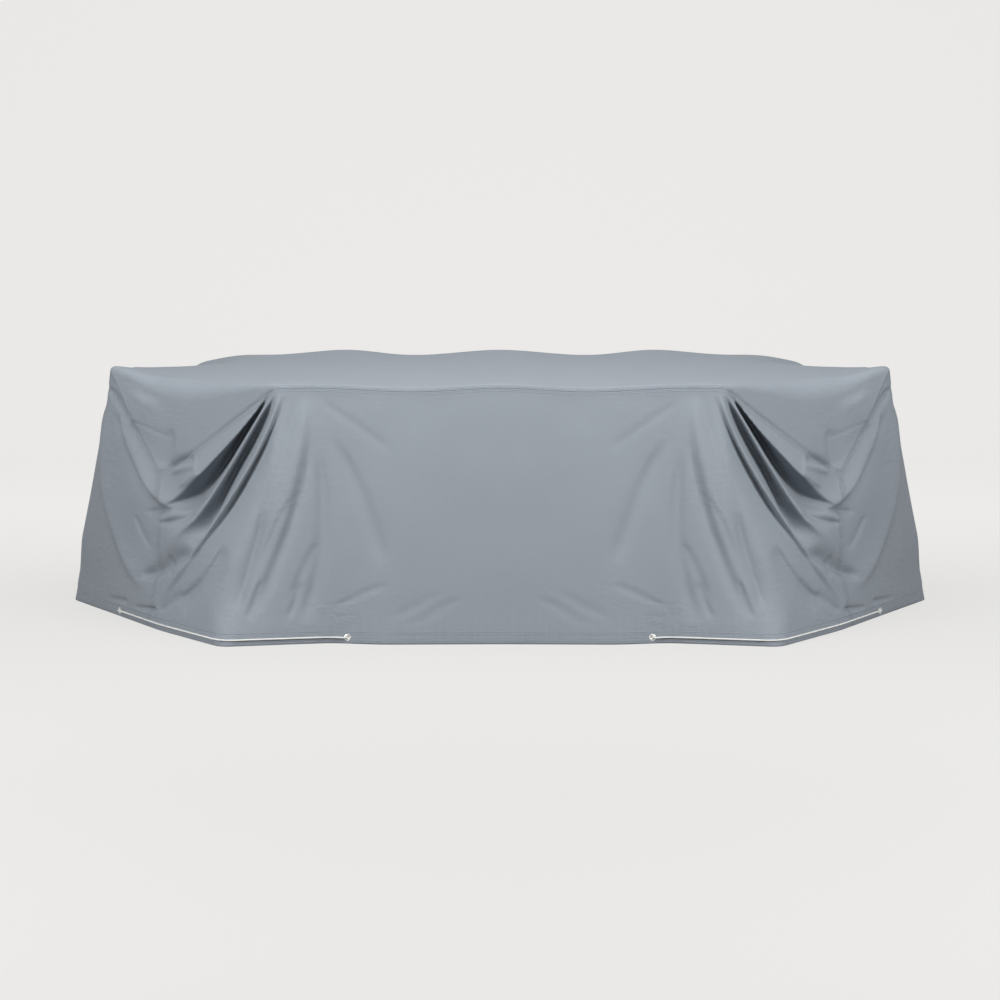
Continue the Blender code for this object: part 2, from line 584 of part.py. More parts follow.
def make_panels(collection):
    """One object for each panel of the cover."""
    whole = whole_cover()
    mark_seams(whole)
    objects = {}
    for number, name in enumerate(PANELS):
        panel = whole.copy()
        others = [face for face in panel.faces if face.material_index != number]
        bmesh.ops.delete(panel, geom=others, context="FACES")
        draw_back(panel)
        thicken(panel)
        for face in panel.faces:
            face.material_index = 0
            face.smooth = True
        mesh = bpy.data.meshes.new(name)
        panel.to_mesh(mesh)
        panel.free()
        objects[name] = add_object(name, mesh, collection, CLOTH_FINISH)
    whole.free()
    return objects


# ---------------------------------------------------------------- eyelets
def eyelet_frame(along, side):
    """Where an eyelet sits on the hem: its middle, and the directions along the hem, up and out."""
    places = np.array((along - EYELET_FIELD, along + EYELET_FIELD))
    low = draped_skirt(places, np.full(2, SKIRT_ROWS + 1.0))
    high = draped_skirt(places, np.full(2, float(SKIRT_ROWS)))
    corners = [Vector((side * point[0], point[1], point[2])) for point in (*low, *high)]
    middle = sum(corners, Vector()) / 4.0
    run = (corners[1] + corners[3] - corners[0] - corners[2]).normalized() * side
    up = (corners[2] + corners[3] - corners[0] - corners[1]).normalized()
    out = run.cross(up).normalized()
    return middle, Matrix((run, out.cross(run), out)).transposed().to_4x4()


def make_eyelet(name, along, side, panel, collection, cutters):
    """A flanged ring pressed through a hole in the hem."""
    middle, turn = eyelet_frame(along, side)
    back = -CLOTH - SEAM_GAP
    profile = (
        (EYELET_HOLE_RADIUS, EYELET_CROWN * 0.7),
        (EYELET_BARREL_RADIUS, EYELET_CROWN),
        (EYELET_RADIUS * 0.85, EYELET_CROWN),
        (EYELET_RADIUS, SEAM_GAP),
        (EYELET_BARREL_RADIUS, SEAM_GAP),
        (EYELET_BARREL_RADIUS, back),
        (EYELET_COLLAR_RADIUS, back),
        (EYELET_COLLAR_RADIUS, back - EYELET_COLLAR),
        (EYELET_HOLE_RADIUS, back - EYELET_COLLAR),
    )
    mesh = bpy.data.meshes.new(name)
    bm = bmesh.new()
    ring = [bm.verts.new((radius, 0.0, height)) for radius, height in profile]
    for first, second in zip(ring, ring[1:] + ring[:1]):
        bm.edges.new((first, second))
    bm.to_mesh(mesh)
    bm.free()
    eyelet = add_object(name, mesh, collection, EYELET_FINISH)
    screw = eyelet.modifiers.new("turn", "SCREW")
    screw.steps = screw.render_steps = EYELET_SIDES
    screw.use_merge_vertices = True
    screw.merge_threshold = 1e-5
    eyelet.matrix_world = Matrix.Translation(middle) @ turn

    bm = bmesh.new()
    radius = EYELET_BARREL_RADIUS + SEAM_GAP
    bmesh.ops.create_cone(
        bm, cap_ends=True, segments=EYELET_SIDES, radius1=radius, radius2=radius, depth=EYELET_CUT)
    hole_mesh = bpy.data.meshes.new(name + "_hole")
    bm.to_mesh(hole_mesh)
    bm.free()
    hole = add_object(name + "_hole", hole_mesh, cutters, None)
    hole.matrix_world = Matrix.Translation(middle) @ turn
    hole.hide_render = True
    hole.display_type = "WIRE"
    cut = panel.modifiers.new(name + "_hole", "BOOLEAN")
    cut.operation = "DIFFERENCE"
    cut.solver = "EXACT"
    cut.object = hole
    return eyelet


# ---------------------------------------------------------------- drawcord
def cord_route():
    """The right cord's way: out of the front eyelet, along outside the hem and in at the end eyelet."""
    first, last = FRONT_EYELET_ALONG, END_EYELET_ALONG
    middle = np.linspace(first + 0.070, last - 0.070, CORD_PLACES)
    along = [first + run for run, _ in CORD_ENDS] + list(middle) + [last - run for run, _ in CORD_ENDS[::-1]]
    off = [out for _, out in CORD_ENDS] + [CORD_CLEAR] * len(middle) + [out for _, out in CORD_ENDS[::-1]]
    along = np.array(along)
    height = np.full(len(along), CORD_HEIGHT)
    wall, before, after = (straight_skirt(along + step, height)[0] for step in (0.0, -0.004, 0.004))
    run = after - before
    outward = np.column_stack((run[:, 1], -run[:, 0], np.zeros(len(run))))
    outward /= np.linalg.norm(outward, axis=1)[:, None]
    return [tuple(point) for point in wall + outward * np.array(off)[:, None]]


def smooth_route(points, spacing):
    """Evenly spaced points on a smooth curve through the route's points."""
    points = [Vector(point) for point in points]
    points = [points[0] * 2.0 - points[1]] + points + [points[-1] * 2.0 - points[-2]]
    curve = []
    for before, start, end, after in zip(points, points[1:], points[2:], points[3:]):
        for step in range(24):
            t = step / 24
            curve.append(0.5 * (2.0 * start + (end - before) * t
                                + (2.0 * before - 5.0 * start + 4.0 * end - after) * t ** 2
                                + (3.0 * start - before - 3.0 * end + after) * t ** 3))
    curve.append(points[-2])
    reached = [0.0]
    for start, end in zip(curve, curve[1:]):
        reached.append(reached[-1] + (end - start).length)
    count = max(2, round(reached[-1] / spacing))
    wanted = np.linspace(0.0, reached[-1], count + 1)
    return [Vector(point) for point in np.column_stack(
        [np.interp(wanted, reached, [point[axis] for point in curve]) for axis in range(3)])]


def make_cord(name, side, collection):
    """The drawcord where it shows, from one eyelet to the other."""
    route = smooth_route([(side * x, y, z) for x, y, z in cord_route()], CORD_SPACING)
    curve = bpy.data.curves.new(name, "CURVE")
    curve.dimensions = "3D"
    curve.bevel_depth = CORD_DIAMETER / 2.0
    curve.bevel_resolution = 2
    curve.use_fill_caps = True
    spline = curve.splines.new("POLY")
    spline.points.add(len(route) - 1)
    for place, point in zip(spline.points, route):
        place.co = (*point, 1.0)
    return add_object(name, curve, collection, CORD_FINISH)


# ---------------------------------------------------------------- scene
def add_object(name, data, collection, finish):
    """An object with a material of its own, made from (colour, roughness, metallic)."""
    item = bpy.data.objects.new(name, data)
    collection.objects.link(item)
    if finish:
        colour, roughness, metallic = finish
        material = bpy.data.materials.new(name + "_finish")
        material.use_nodes = True
        shader = material.node_tree.nodes["Principled BSDF"]
        shader.inputs["Base Color"].default_value = (*colour, 1.0)
        shader.inputs["Roughness"].default_value = roughness
        shader.inputs["Metallic"].default_value = metallic
        data.materials.append(material)
    return item


def main():
    for old in list(bpy.data.objects):
        bpy.data.objects.remove(old)
    collection = bpy.data.collections.new("patio_furniture_cover")
    cutters = bpy.data.collections.new("cutters")
    bpy.context.scene.collection.children.link(collection)
    bpy.context.scene.collection.children.link(cutters)
    panels = make_panels(collection)
    for side, word in ((1.0, "right"), (-1.0, "left")):
        for name, along, panel in (
            (f"front_{word}_eyelet", FRONT_EYELET_ALONG, panels["front_panel"]),
            (f"{word}_end_eyelet", END_EYELET_ALONG, panels[f"{word}_end_panel"]),
        ):
            make_eyelet(name, along, side, panel, collection, cutters)
        make_cord(f"{word}_cord", side, collection)


main()
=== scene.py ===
"""Patio furniture cover: the looks of its cloth, eyelets and drawcord.

The cover hangs as in the part's source: a level outline carries the top panel, whose corners hang as
flaps, and the skirt runs from its border down to a splayed hem. Here the same cloth is laid finer,
with its pleats, creases, seams and hem. Lengths are in metres. +Z is up and +Y the cover's back.
"""
import math

import bmesh
import bpy
import numpy as np
from mathutils import Matrix, Vector, noise


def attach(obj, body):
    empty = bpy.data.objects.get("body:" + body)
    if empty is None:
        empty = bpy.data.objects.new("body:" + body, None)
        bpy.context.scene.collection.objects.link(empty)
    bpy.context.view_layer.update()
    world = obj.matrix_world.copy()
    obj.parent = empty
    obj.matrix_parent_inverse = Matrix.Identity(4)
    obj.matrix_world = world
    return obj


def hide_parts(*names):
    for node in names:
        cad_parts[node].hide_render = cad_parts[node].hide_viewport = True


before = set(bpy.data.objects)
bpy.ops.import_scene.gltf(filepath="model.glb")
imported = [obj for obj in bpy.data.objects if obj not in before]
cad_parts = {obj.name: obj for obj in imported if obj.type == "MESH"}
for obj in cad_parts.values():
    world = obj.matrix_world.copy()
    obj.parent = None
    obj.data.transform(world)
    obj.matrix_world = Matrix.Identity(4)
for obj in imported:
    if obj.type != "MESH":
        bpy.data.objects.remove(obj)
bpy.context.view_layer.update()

# ------------ the cover as it is cut and hung
HALF_LENGTH = 1.247          # of the top panel
DEPTH = 1.220
FRONT_BORDER_Y = -0.681
REST_FRONT_Y = -0.670
REST_BACK_Y = 0.510
REST_CORNERS = (
    (0.670, REST_FRONT_Y),
    (1.232, -0.285),
    (1.232, 0.250),
    (1.060, REST_BACK_Y),
)
CORNER_RADIUS = 0.030
EDGE_RADIUS = 0.018
FLAP_ROUND = 0.055           # how much rounder the cloth turns over at the middle of a flap's hinge
EDGE_TURN = math.radians(86)
FLAP_TAKE_UP = 0.83
FLAP_PULL = 0.08

HEM_PLAN = (
    (0.000, -0.808),
    (0.350, -0.815),
    (0.500, -0.790),
    (0.640, -0.815),
    (0.822, -0.850),
    (1.040, -0.597),
    (1.200, -0.368),
    (1.416, -0.060),
    (1.416, 0.060),
    (1.200, 0.380),
    (0.822, 0.845),
    (0.000, 0.845),
)
HALF_ROUND = 2.0 * HALF_LENGTH + DEPTH
HEM_ROUNDING = 0.030
ROUNDING_STEPS = 15
WALL_ROUNDING = 0.150        # how much rounder the wall's corners are than the hem's
CALM_END = 0.300             # the end's middle keeps the hem's plan, and its corners round off beyond this
CORNER_START = 0.650
CORNER_SEAM_DRIFT = 0.040
CORNER_SEAM_REACH = 0.120
HEM_BAND = 0.036
HEM_CALM = 0.022             # folds grow over this height above the hem's band,
SEAM_CALM = 0.050            # over this distance from a seam,
FLOOR_CALM = 0.100           # and the sags over this height above the floor
FOLD_CORE_X = 0.780
FOLD_CORE_Y = 0.200
FRONT_FOLDS_FROM = -0.020
BACK_FOLDS_FROM = 0.150
END_FOLDS_FROM = 1.160
FACE_BLEND = 0.120
END_BLEND = 0.060

TOP_FRONT_Z = 0.756
TOP_BACK_Z = 0.781
TOP_RELIEF = (  # place, x, y, height, spread along x, spread along y
    ("middle of the front edge", 0.000, -0.670, 0.006, 0.110, 0.200),
    ("dip in the front edge", 0.264, -0.670, -0.006, 0.110, 0.140),
    ("outer front edge", 0.560, -0.670, 0.006, 0.120, 0.140),
    ("front end corner", 1.232, -0.285, 0.028, 0.090, 0.100),
    ("middle of the end", 1.232, 0.000, -0.004, 0.140, 0.160),
    ("sag of the rear corner", 1.150, 0.370, -0.060, 0.120, 0.140),
    ("middle of the back edge", 0.000, 0.490, 0.018, 0.120, 0.100),
    ("outer back edge", 0.560, 0.490, 0.020, 0.100, 0.100),
    ("far back edge", 0.960, 0.490, 0.006, 0.100, 0.100),
)

# ------------ pleats below each front flap
# A pleat line is a smooth curve through four places (distance from the middle, height), from the
# flap's inner corner down and out. Ridges stand out by height and valleys go in by it. The lines lie
# in order from the flap's seam to the front, and the cloth turns from each to the next: bend 2 is
# steep below a ridge, rise and fall are the shares of a line where it grows and fades.
PLEATS = (  # name, places, height, droop, bend below it, rise, fall
    ("seam", (0.680, 0.735), (0.790, 0.656), (0.910, 0.576), (1.032, 0.483), 0.0, 0.0, 1.3, 0.3, 0.3),
    ("lip", (0.683, 0.735), (0.775, 0.637), (0.876, 0.527), (0.985, 0.415), 0.020, 0.014, 2.2, 0.4, 0.3),
    ("pocket", (0.680, 0.733), (0.777, 0.600), (0.888, 0.466), (1.030, 0.374), -0.074, 0.0, 1.8, 0.5, 0.2),
    ("ridge 1", (0.673, 0.731), (0.791, 0.540), (0.912, 0.356), (1.080, 0.215), 0.020, 0.0, 1.7, 0.4, 0.2),
    ("valley 1", (0.664, 0.733), (0.743, 0.588), (0.829, 0.436), (0.895, 0.245),
     -0.042, 0.0, 1.5, 0.4, 0.12),
    ("ridge 2", (0.652, 0.733), (0.758, 0.495), (0.903, 0.281), (1.058, 0.075), 0.014, 0.0, 0.7, 0.4, 0.2),
    ("valley 2", (0.634, 0.735), (0.710, 0.566), (0.806, 0.400), (0.934, 0.213), -0.020, 0.0, 0.7, 0.4, 0.4),
    ("swell", (0.604, 0.737), (0.668, 0.505), (0.772, 0.288), (0.899, 0.082), 0.016, 0.0, 1.0, 0.4, 0.3),
)
SWELL_REACH = 0.070          # how far the swell fades towards the front's middle
LINE_STEPS = 60              # points along the line of a pleat or crease
LINE_OVERRUN = 0.25          # how far a pleat line runs straight on past its ends, to part the cloth
OVERRUN_STEPS = 12
RIDGE_RADIUS = 0.006
BEND_END = 0.7               # the bend of a steep pleat at its lower end
CHUNK = 20000                # places looked up at a time

# ------------ single folds and creases
# A crease follows a smooth line through three places: on the front and back (distance from the
# middle, height), on an end (y, height). Its outer or upper side and its inner or lower side have
# their own widths. Crispness 2 is a soft fold and 1 a sharp crease.
CREASES = (  # name, face, start, middle, end, outer width, inner width, height, crispness
    ("bead", "front", (0.675, 0.731), (0.851, 0.443), (0.985, 0.290), 0.006, 0.008, 0.007, 2.0),
    ("second bead", "front", (0.656, 0.733), (0.826, 0.382), (0.930, 0.248), 0.016, 0.008, 0.006, 2.0),
    ("hooked valley", "front", (0.826, 0.286), (0.880, 0.185), (0.985, 0.085), 0.010, 0.034, -0.012, 1.8),
    ("fourth valley", "front", (0.596, 0.737), (0.690, 0.405), (0.801, 0.062), 0.030, 0.018, -0.012, 1.7),
    ("long streak", "front", (0.700, 0.400), (0.737, 0.235), (0.780, 0.100), 0.010, 0.014, -0.008, 1.6),
    ("middle streak", "front", (0.620, 0.430), (0.684, 0.294), (0.745, 0.170), 0.008, 0.012, -0.005, 1.6),
    ("short streak", "front", (0.546, 0.294), (0.581, 0.220), (0.622, 0.130), 0.008, 0.012, -0.006, 1.6),
    ("hem streak", "front", (0.588, 0.180), (0.605, 0.130), (0.626, 0.075), 0.007, 0.009, -0.006, 1.6),
    ("outer hem streak", "front", (0.705, 0.190), (0.725, 0.130), (0.748, 0.075), 0.008, 0.010, -0.006, 1.6),
    ("light band", "front", (0.578, 0.711), (0.605, 0.500), (0.674, 0.258), 0.016, 0.018, 0.008, 2.0),
    ("fifth valley", "front", (0.566, 0.604), (0.622, 0.346), (0.737, 0.064), 0.016, 0.016, -0.011, 1.7),
    ("sixth valley", "front", (0.545, 0.571), (0.529, 0.305), (0.589, 0.061), 0.016, 0.020, -0.012, 1.7),
    ("seventh valley", "front", (0.497, 0.600), (0.405, 0.410), (0.348, 0.229), 0.020, 0.022, -0.009, 1.9),
    ("upper wrinkle", "front", (0.536, 0.715), (0.433, 0.643), (0.321, 0.560), 0.010, 0.010, -0.003, 1.6),
    ("flap's groove", "front", (1.238, 0.722), (1.199, 0.672), (1.150, 0.620), 0.009, 0.008, -0.026, 1.4),
    ("thin crease", "front", (1.165, 0.628), (1.090, 0.604), (1.019, 0.579), 0.004, 0.004, -0.002, 1.4),
    ("flap's facet", "front", (1.060, 0.735), (1.110, 0.680), (1.165, 0.610), 0.060, 0.040, 0.012, 1.8),
    ("flap's end", "front", (1.013, 0.610), (1.022, 0.545), (1.034, 0.478), 0.040, 0.010, -0.007, 1.7),
    ("mouth", "front", (1.036, 0.478), (0.985, 0.508), (0.925, 0.522), 0.004, 0.012, -0.016, 1.5),
    ("crumple", "front", (1.015, 0.470), (0.960, 0.500), (0.910, 0.520), 0.010, 0.012, 0.008, 1.6),
    ("lower crumple", "front", (0.985, 0.430), (0.945, 0.470), (0.905, 0.500), 0.008, 0.010, 0.007, 1.6),
    ("end ridge", "front", (1.200, 0.640), (1.120, 0.462), (0.975, 0.352), 0.012, 0.030, 0.018, 1.4),
    ("end hollow", "front", (1.210, 0.640), (1.160, 0.510), (1.085, 0.372), 0.020, 0.014, -0.012, 1.8),
    ("flat end's edge", "front", (1.247, 0.690), (1.240, 0.330), (1.107, 0.105), 0.014, 0.030, 0.012, 1.4),
    ("upper swag", "front", (1.101, 0.343), (1.020, 0.359), (0.907, 0.399), 0.006, 0.012, -0.012, 1.5),
    ("middle swag", "front", (1.050, 0.316), (0.980, 0.334), (0.914, 0.361), 0.004, 0.010, -0.017, 1.3),
    ("lower swag", "front", (1.118, 0.140), (1.030, 0.182), (0.926, 0.253), 0.010, 0.026, -0.022, 1.6),
    ("upright crease", "front", (1.015, 0.230), (1.013, 0.193), (1.001, 0.162), 0.004, 0.008, -0.006, 1.4),
    ("chest crease", "front", (1.150, 0.330), (1.124, 0.280), (1.085, 0.232), 0.006, 0.012, -0.005, 1.5),
    ("upper hem crease", "front", (1.262, 0.046), (1.215, 0.047), (1.175, 0.054), 0.005, 0.006, -0.012, 1.4),
    ("lower hem crease", "front", (1.150, 0.044), (1.100, 0.047), (1.060, 0.058), 0.005, 0.006, -0.014, 1.4),
    ("third hem crease", "front", (1.045, 0.050), (1.000, 0.090), (0.955, 0.125), 0.008, 0.012, -0.008, 1.6),
    ("first slant", "front", (0.317, 0.078), (0.243, 0.114), (0.170, 0.157), 0.008, 0.008, -0.003, 1.7),
    ("second slant", "front", (0.265, 0.050), (0.192, 0.096), (0.118, 0.136), 0.008, 0.008, -0.003, 1.7),
    ("third slant", "front", (0.487, 0.110), (0.413, 0.143), (0.333, 0.175), 0.008, 0.008, -0.003, 1.7),
    ("rear lip", "back", (0.99, 0.70), (1.06, 0.60), (1.13, 0.52), 0.030, 0.020, 0.008, 1.8),
    ("rear pocket", "back", (0.98, 0.69), (1.06, 0.54), (1.15, 0.44), 0.024, 0.034, -0.018, 1.9),
    ("rear ridge", "back", (0.965, 0.72), (1.04, 0.45), (1.16, 0.16), 0.020, 0.018, 0.014, 1.5),
    ("rear valley", "back", (0.94, 0.72), (0.985, 0.43), (1.07, 0.12), 0.024, 0.034, -0.016, 1.8),
    ("rear swell", "back", (0.89, 0.73), (0.90, 0.43), (0.93, 0.10), 0.040, 0.040, 0.014, 2.0),
    ("rear fold", "back", (0.82, 0.73), (0.81, 0.42), (0.79, 0.08), 0.028, 0.030, -0.016, 2.0),
    ("long back fold", "back", (0.56, 0.74), (0.53, 0.40), (0.52, 0.07), 0.040, 0.050, -0.014, 2.0),
    ("slight back fold", "back", (0.25, 0.72), (0.23, 0.45), (0.19, 0.20), 0.040, 0.050, -0.010, 2.0),
    ("rear end ridge", "end", (0.255, 0.72), (0.30, 0.50), (0.33, 0.30), 0.030, 0.030, 0.014, 1.9),
    ("end's sag", "end", (0.16, 0.70), (0.16, 0.40), (0.16, 0.15), 0.060, 0.060, -0.012, 2.0),
    ("end's belly", "end", (-0.16, 0.70), (-0.12, 0.42), (-0.06, 0.10), 0.140, 0.140, 0.018, 2.0),
)
CREASE_NARROW = 0.5          # width of a crease where it starts, as a share of its full width
CREASE_FADE = 0.24           # share of a crease where it grows and fades, from CREASE_LEAD of the way
CREASE_LEAD = 0.2
CREASE_RADIUS = 0.003
CREASE_REACH = 4.0           # how many widths beside its line a crease reaches

SAG = 0.0025                 # slight unevenness of all the cloth
SAG_SCALE = 7.0
SAG_SEED = 1                 # without a seed the sags would differ from run to run
SAG_MIDDLE = 0.120           # where the sags turn level at the cover's middle
SEAM_PINCH = 0.0014          # how deep a seam draws the cloth in, and how wide
SEAM_WIDTH = 0.0035
HIDDEN_SHARE = 0.7           # how much less that is where the flap's tip hides the corner seam,
HIDDEN_LEAD = 0.050          # from this far before the corner
HIDDEN_RUN = 0.280           # to this far past it, and how fast that ends
HIDDEN_FADE = 0.060
END_SEAM_BAND = 0.020        # places this near the top panel's end belong to its end seam
SHEET = 0.0012               # thickness of the cloth
CLOTH_MIDDLE = (0.0, -0.05, 0.3)  # a place inside the cover, which its cloth faces away from

# ------------ eyelets and cords
FRONT_EYELET_ALONG = 0.449
END_EYELET_ALONG = HALF_LENGTH + 0.200
EYELET_FIELD = 0.022
EYELET_FLAT = 0.030          # the cloth is pressed flat from this far off, over EYELET_FLAT_FADE
EYELET_FLAT_FADE = 0.012
EYELET_CLEAR = 0.0070        # radius of the hole that the cloth has under an eyelet
EYELET_SIDES = 48
EYELET_PROFILE = (  # radius, height over the cloth
    (0.0048, 0.0008),
    (0.0051, 0.0013),
    (0.0058, 0.0016),
    (0.0072, 0.0017),
    (0.0088, 0.0015),
    (0.0099, 0.0010),
    (0.0105, 0.0003),
    (0.0103, 0.0001),
    (0.0061, 0.0001),
    (0.0060, -0.0025),
    (0.0092, -0.0026),
    (0.0093, -0.0034),
    (0.0050, -0.0035),
    (0.0048, -0.0030),
)

CORD_DIAMETER = 0.005
CORD_STEP = 0.005            # distance between the points of a cord's curve
CORD_HEIGHT = 0.018          # height of its middle line, the eyelets' own
CORD_CLEAR = 0.0040          # distance of its middle line from the cloth
CORD_ENDS = (  # at an eyelet, how far it has run along the hem and how far out it is by then
    (0.0000, -0.0080),
    (0.0000, 0.0000),
    (0.0010, 0.0050),
    (0.0060, 0.0078),
    (0.0150, 0.0075),
    (0.0290, 0.0054),
    (0.0480, CORD_CLEAR),
)
CORD_PLACES = 24             # places along the hem between its ends
CORD_END_RUN = 0.070         # those start this far from the eyelets
CORD_LOOK = 0.004            # the hem's direction is taken this far to each side
CURVE_STEPS = 24
CORD_SIDES = 3               # Blender's bevel resolution
SIDES = ((1.0, "right"), (-1.0, "left"))

CLOTH_COLOUR = (0.250, 0.280, 0.316)
CORD_COLOUR = (0.86, 0.86, 0.84)
EYELET_COLOUR = (0.78, 0.78, 0.76)
WEAVE_PITCH = 0.0014         # distance from a thread of the weave to the next but one
STITCH_PITCH = 0.0042
SEAM_STITCH = 0.0050         # distance of the topstitching from a seam
STITCH_WIDTH = 0.0009        # half the width of a stitch line
BAND_STITCHES = (HEM_BAND - 0.003, 0.008)  # heights of the stitch lines in the hem
BAND_FURROWS = (0.0245, 0.0150)            # heights of the furrows between them
FURROW_WIDTH = 0.0016
BRAID_PITCH = 0.0042
BRAID_SLANT = 1.4

# ------------ how fine the cloth is laid
NEAR_SEAM = 0.004
SEAM_EDGE = 0.012
COARSER = 1
LENGTH_CELLS = (  # from, to, size of a cell on the front, the back and the top
    (0.000, 0.300, 0.0200, 0.0200, 0.0200),
    (0.300, 0.600, 0.0090, 0.0150, 0.0150),
    (0.600, HALF_LENGTH - SEAM_EDGE, 0.0054, 0.0120, 0.0060),
    (HALF_LENGTH - SEAM_EDGE, HALF_LENGTH - NEAR_SEAM, 0.0080, 0.0080, 0.0080),
    (HALF_LENGTH - NEAR_SEAM, HALF_LENGTH, 0.0020, 0.0020, 0.0020),
)
DEPTH_CELLS = (  # from, to, size of a cell on an end and the top
    (0.000, NEAR_SEAM, 0.0020, 0.0020),
    (NEAR_SEAM, SEAM_EDGE, 0.0080, 0.0080),
    (SEAM_EDGE, 0.450, 0.0054, 0.0060),
    (0.450, DEPTH - SEAM_EDGE, 0.0100, 0.0120),
    (DEPTH - SEAM_EDGE, DEPTH - NEAR_SEAM, 0.0080, 0.0080),
    (DEPTH - NEAR_SEAM, DEPTH, 0.0020, 0.0020),
)
SKIRT_CELLS = (  # share from, to, size of a cell in shares on the front and ends, and on the back:
    # share 0 is the skirt's border, 1 the top of the hem's band and 2 the hem
    (0.000, 0.005, 0.0025, 0.0025),
    (0.005, 0.016, 0.0110, 0.0110),
    (0.016, 1.000, 0.0090, 0.0150),
    (1.000, 1.080, 0.0400, 0.0400),
    (1.080, 2.000, 0.1600, 0.3200),
)
EYELET_CELL = 0.003


# ------------ camera, light and floor
SENSOR = 36.0
FOCAL_SHARE = 2.004          # focal length as a share of the sensor's width
CAMERA_PLACE = (0.0, -6.627, 1.179)
CAMERA_TILT = 7.337          # degrees down from level
LIGHTS = (  # name, place, target, size, power
    ("right_softbox", (3.2, -3.2, 1.9), (0.4, -0.4, 0.4), (1.5, 1.5), 105.0),
    ("left_softbox", (-3.2, -3.2, 1.9), (-0.4, -0.4, 0.4), (1.5, 1.5), 105.0),
    ("front_softbox", (0.0, -2.0, 2.8), (0.0, -0.4, 0.3), (3.0, 1.2), 42.0),
    ("overhead", (0.0, 0.2, 3.4), (0.0, 0.0, 0.0), (3.0, 2.0), 50.0),
)
WORLD_COLOUR = (1.0, 0.995, 0.985, 1.0)
WORLD_STRENGTH = 0.10
FLOOR_SIDE = 14.0
FLOOR_FRONT = -9.0
FLOOR_BACK = 4.0
CURVE_RADIUS = 3.0           # of the floor where it turns up into the wall
FLOOR_STEPS = 24
WALL_HEIGHT = 6.0
FLOOR_COLOUR = (0.155, 0.154, 0.152)
FLOOR_GLOW = (1.0, 0.990, 0.975)
GLOW_STRENGTH = 0.615
GLOW_GAINS = (  # the floor glows more from here, to here, by this much
    (-1.2, 2.6, 0.268),
    (-2.2, -3.9, 0.127),
)


def add_object(name, data):
    item = bpy.data.objects.new(name, data)
    bpy.context.scene.collection.objects.link(item)
    return item


def make_camera():
    data = bpy.data.cameras.new("camera")
    data.sensor_width = SENSOR
    data.lens = SENSOR * FOCAL_SHARE
    camera = add_object("camera", data)
    camera.location = CAMERA_PLACE
    camera.rotation_euler = (math.radians(90.0 - CAMERA_TILT), 0.0, 0.0)
    bpy.context.scene.camera = camera


def make_lights():
    """Soft lights at both sides, in front and overhead, and a faint even one all round."""
    for name, place, target, size, power in LIGHTS:
        data = bpy.data.lights.new(name, "AREA")
        data.shape = "RECTANGLE"
        data.size, data.size_y = size
        data.energy = power
        light = add_object(name, data)
        light.location = place
        light.rotation_euler = (Vector(target) - Vector(place)).to_track_quat("-Z", "Y").to_euler()
    world = bpy.data.worlds.new("studio")
    world.use_nodes = True
    background = world.node_tree.nodes["Background"]
    background.inputs["Color"].default_value = WORLD_COLOUR
    background.inputs["Strength"].default_value = WORLD_STRENGTH
    bpy.context.scene.world = world
    bpy.context.scene.view_settings.view_transform = "Standard"


def of_kind(items, kind):
    return [item for item in items if isinstance(item, kind)]


def make_floor():
    """A pale floor that curves up behind, and glows a little more where the light falls off."""
    bm = bmesh.new()
    ends = [bm.verts.new((x, FLOOR_FRONT, 0.0)) for x in (-FLOOR_SIDE, FLOOR_SIDE)]
    edge = bm.edges.new(ends)
    run = bmesh.ops.extrude_edge_only(bm, edges=[edge])["geom"]
    verts = of_kind(run, bmesh.types.BMVert)
    bmesh.ops.translate(bm, vec=(0.0, FLOOR_BACK - FLOOR_FRONT, 0.0), verts=verts)
    turned = bmesh.ops.spin(
        bm, geom=of_kind(run, bmesh.types.BMEdge) + verts, cent=(0.0, FLOOR_BACK, CURVE_RADIUS),
        axis=(1.0, 0.0, 0.0), angle=math.radians(90.0), steps=FLOOR_STEPS)["geom_last"]
    run = bmesh.ops.extrude_edge_only(bm, edges=of_kind(turned, bmesh.types.BMEdge))["geom"]
    bmesh.ops.translate(bm, vec=(0.0, 0.0, WALL_HEIGHT), verts=of_kind(run, bmesh.types.BMVert))
    bmesh.ops.recalc_face_normals(bm, faces=bm.faces[:])
    floor = new_object("floor", bm)
    paint = plain_finish("floor_paint", FLOOR_COLOUR, 0.9)
    shader = paint.node_tree.nodes["Principled BSDF"]
    shader.inputs["Specular IOR Level"].default_value = 0.0
    place = Wire(paint.node_tree).node("ShaderNodeTexCoord", {}, output="Object").part(1)
    behind, before = (place.within(low, high) * gain for low, high, gain in GLOW_GAINS)
    glow = behind + before + 1.0
    glow = glow.node("ShaderNodeVectorMath", {0: FLOOR_GLOW, "Scale": glow}, operation="SCALE")
    paint.node_tree.links.new(glow.socket, shader.inputs["Emission Color"])
    shader.inputs["Emission Strength"].default_value = GLOW_STRENGTH
    floor.data.materials.append(paint)
    floor.visible_diffuse = False


# ------------ small helpers
def new_object(name, bm):
    """An object of a bmesh, shaded smooth."""
    mesh = bpy.data.meshes.new(name)
    bm.to_mesh(mesh)
    bm.free()
    mesh.shade_smooth()
    return add_object(name, mesh)


def ease(value):
    """Smooth step from 0 to 1."""
    value = np.clip(value, 0.0, 1.0)
    return value * value * (3.0 - 2.0 * value)


def grid_lines(sections, which):
    """Places of a grid's lines, from the sections of its table and the cell's size in one column."""
    places = [sections[0][0]]
    for section in sections:
        start, end = section[:2]
        count = max(1, round((end - start) / section[2 + which]))
        count = max(1, round(count / COARSER)) if count > 4 else count
        places.extend(start + (end - start) * (k + 1) / count for k in range(count))
    return places


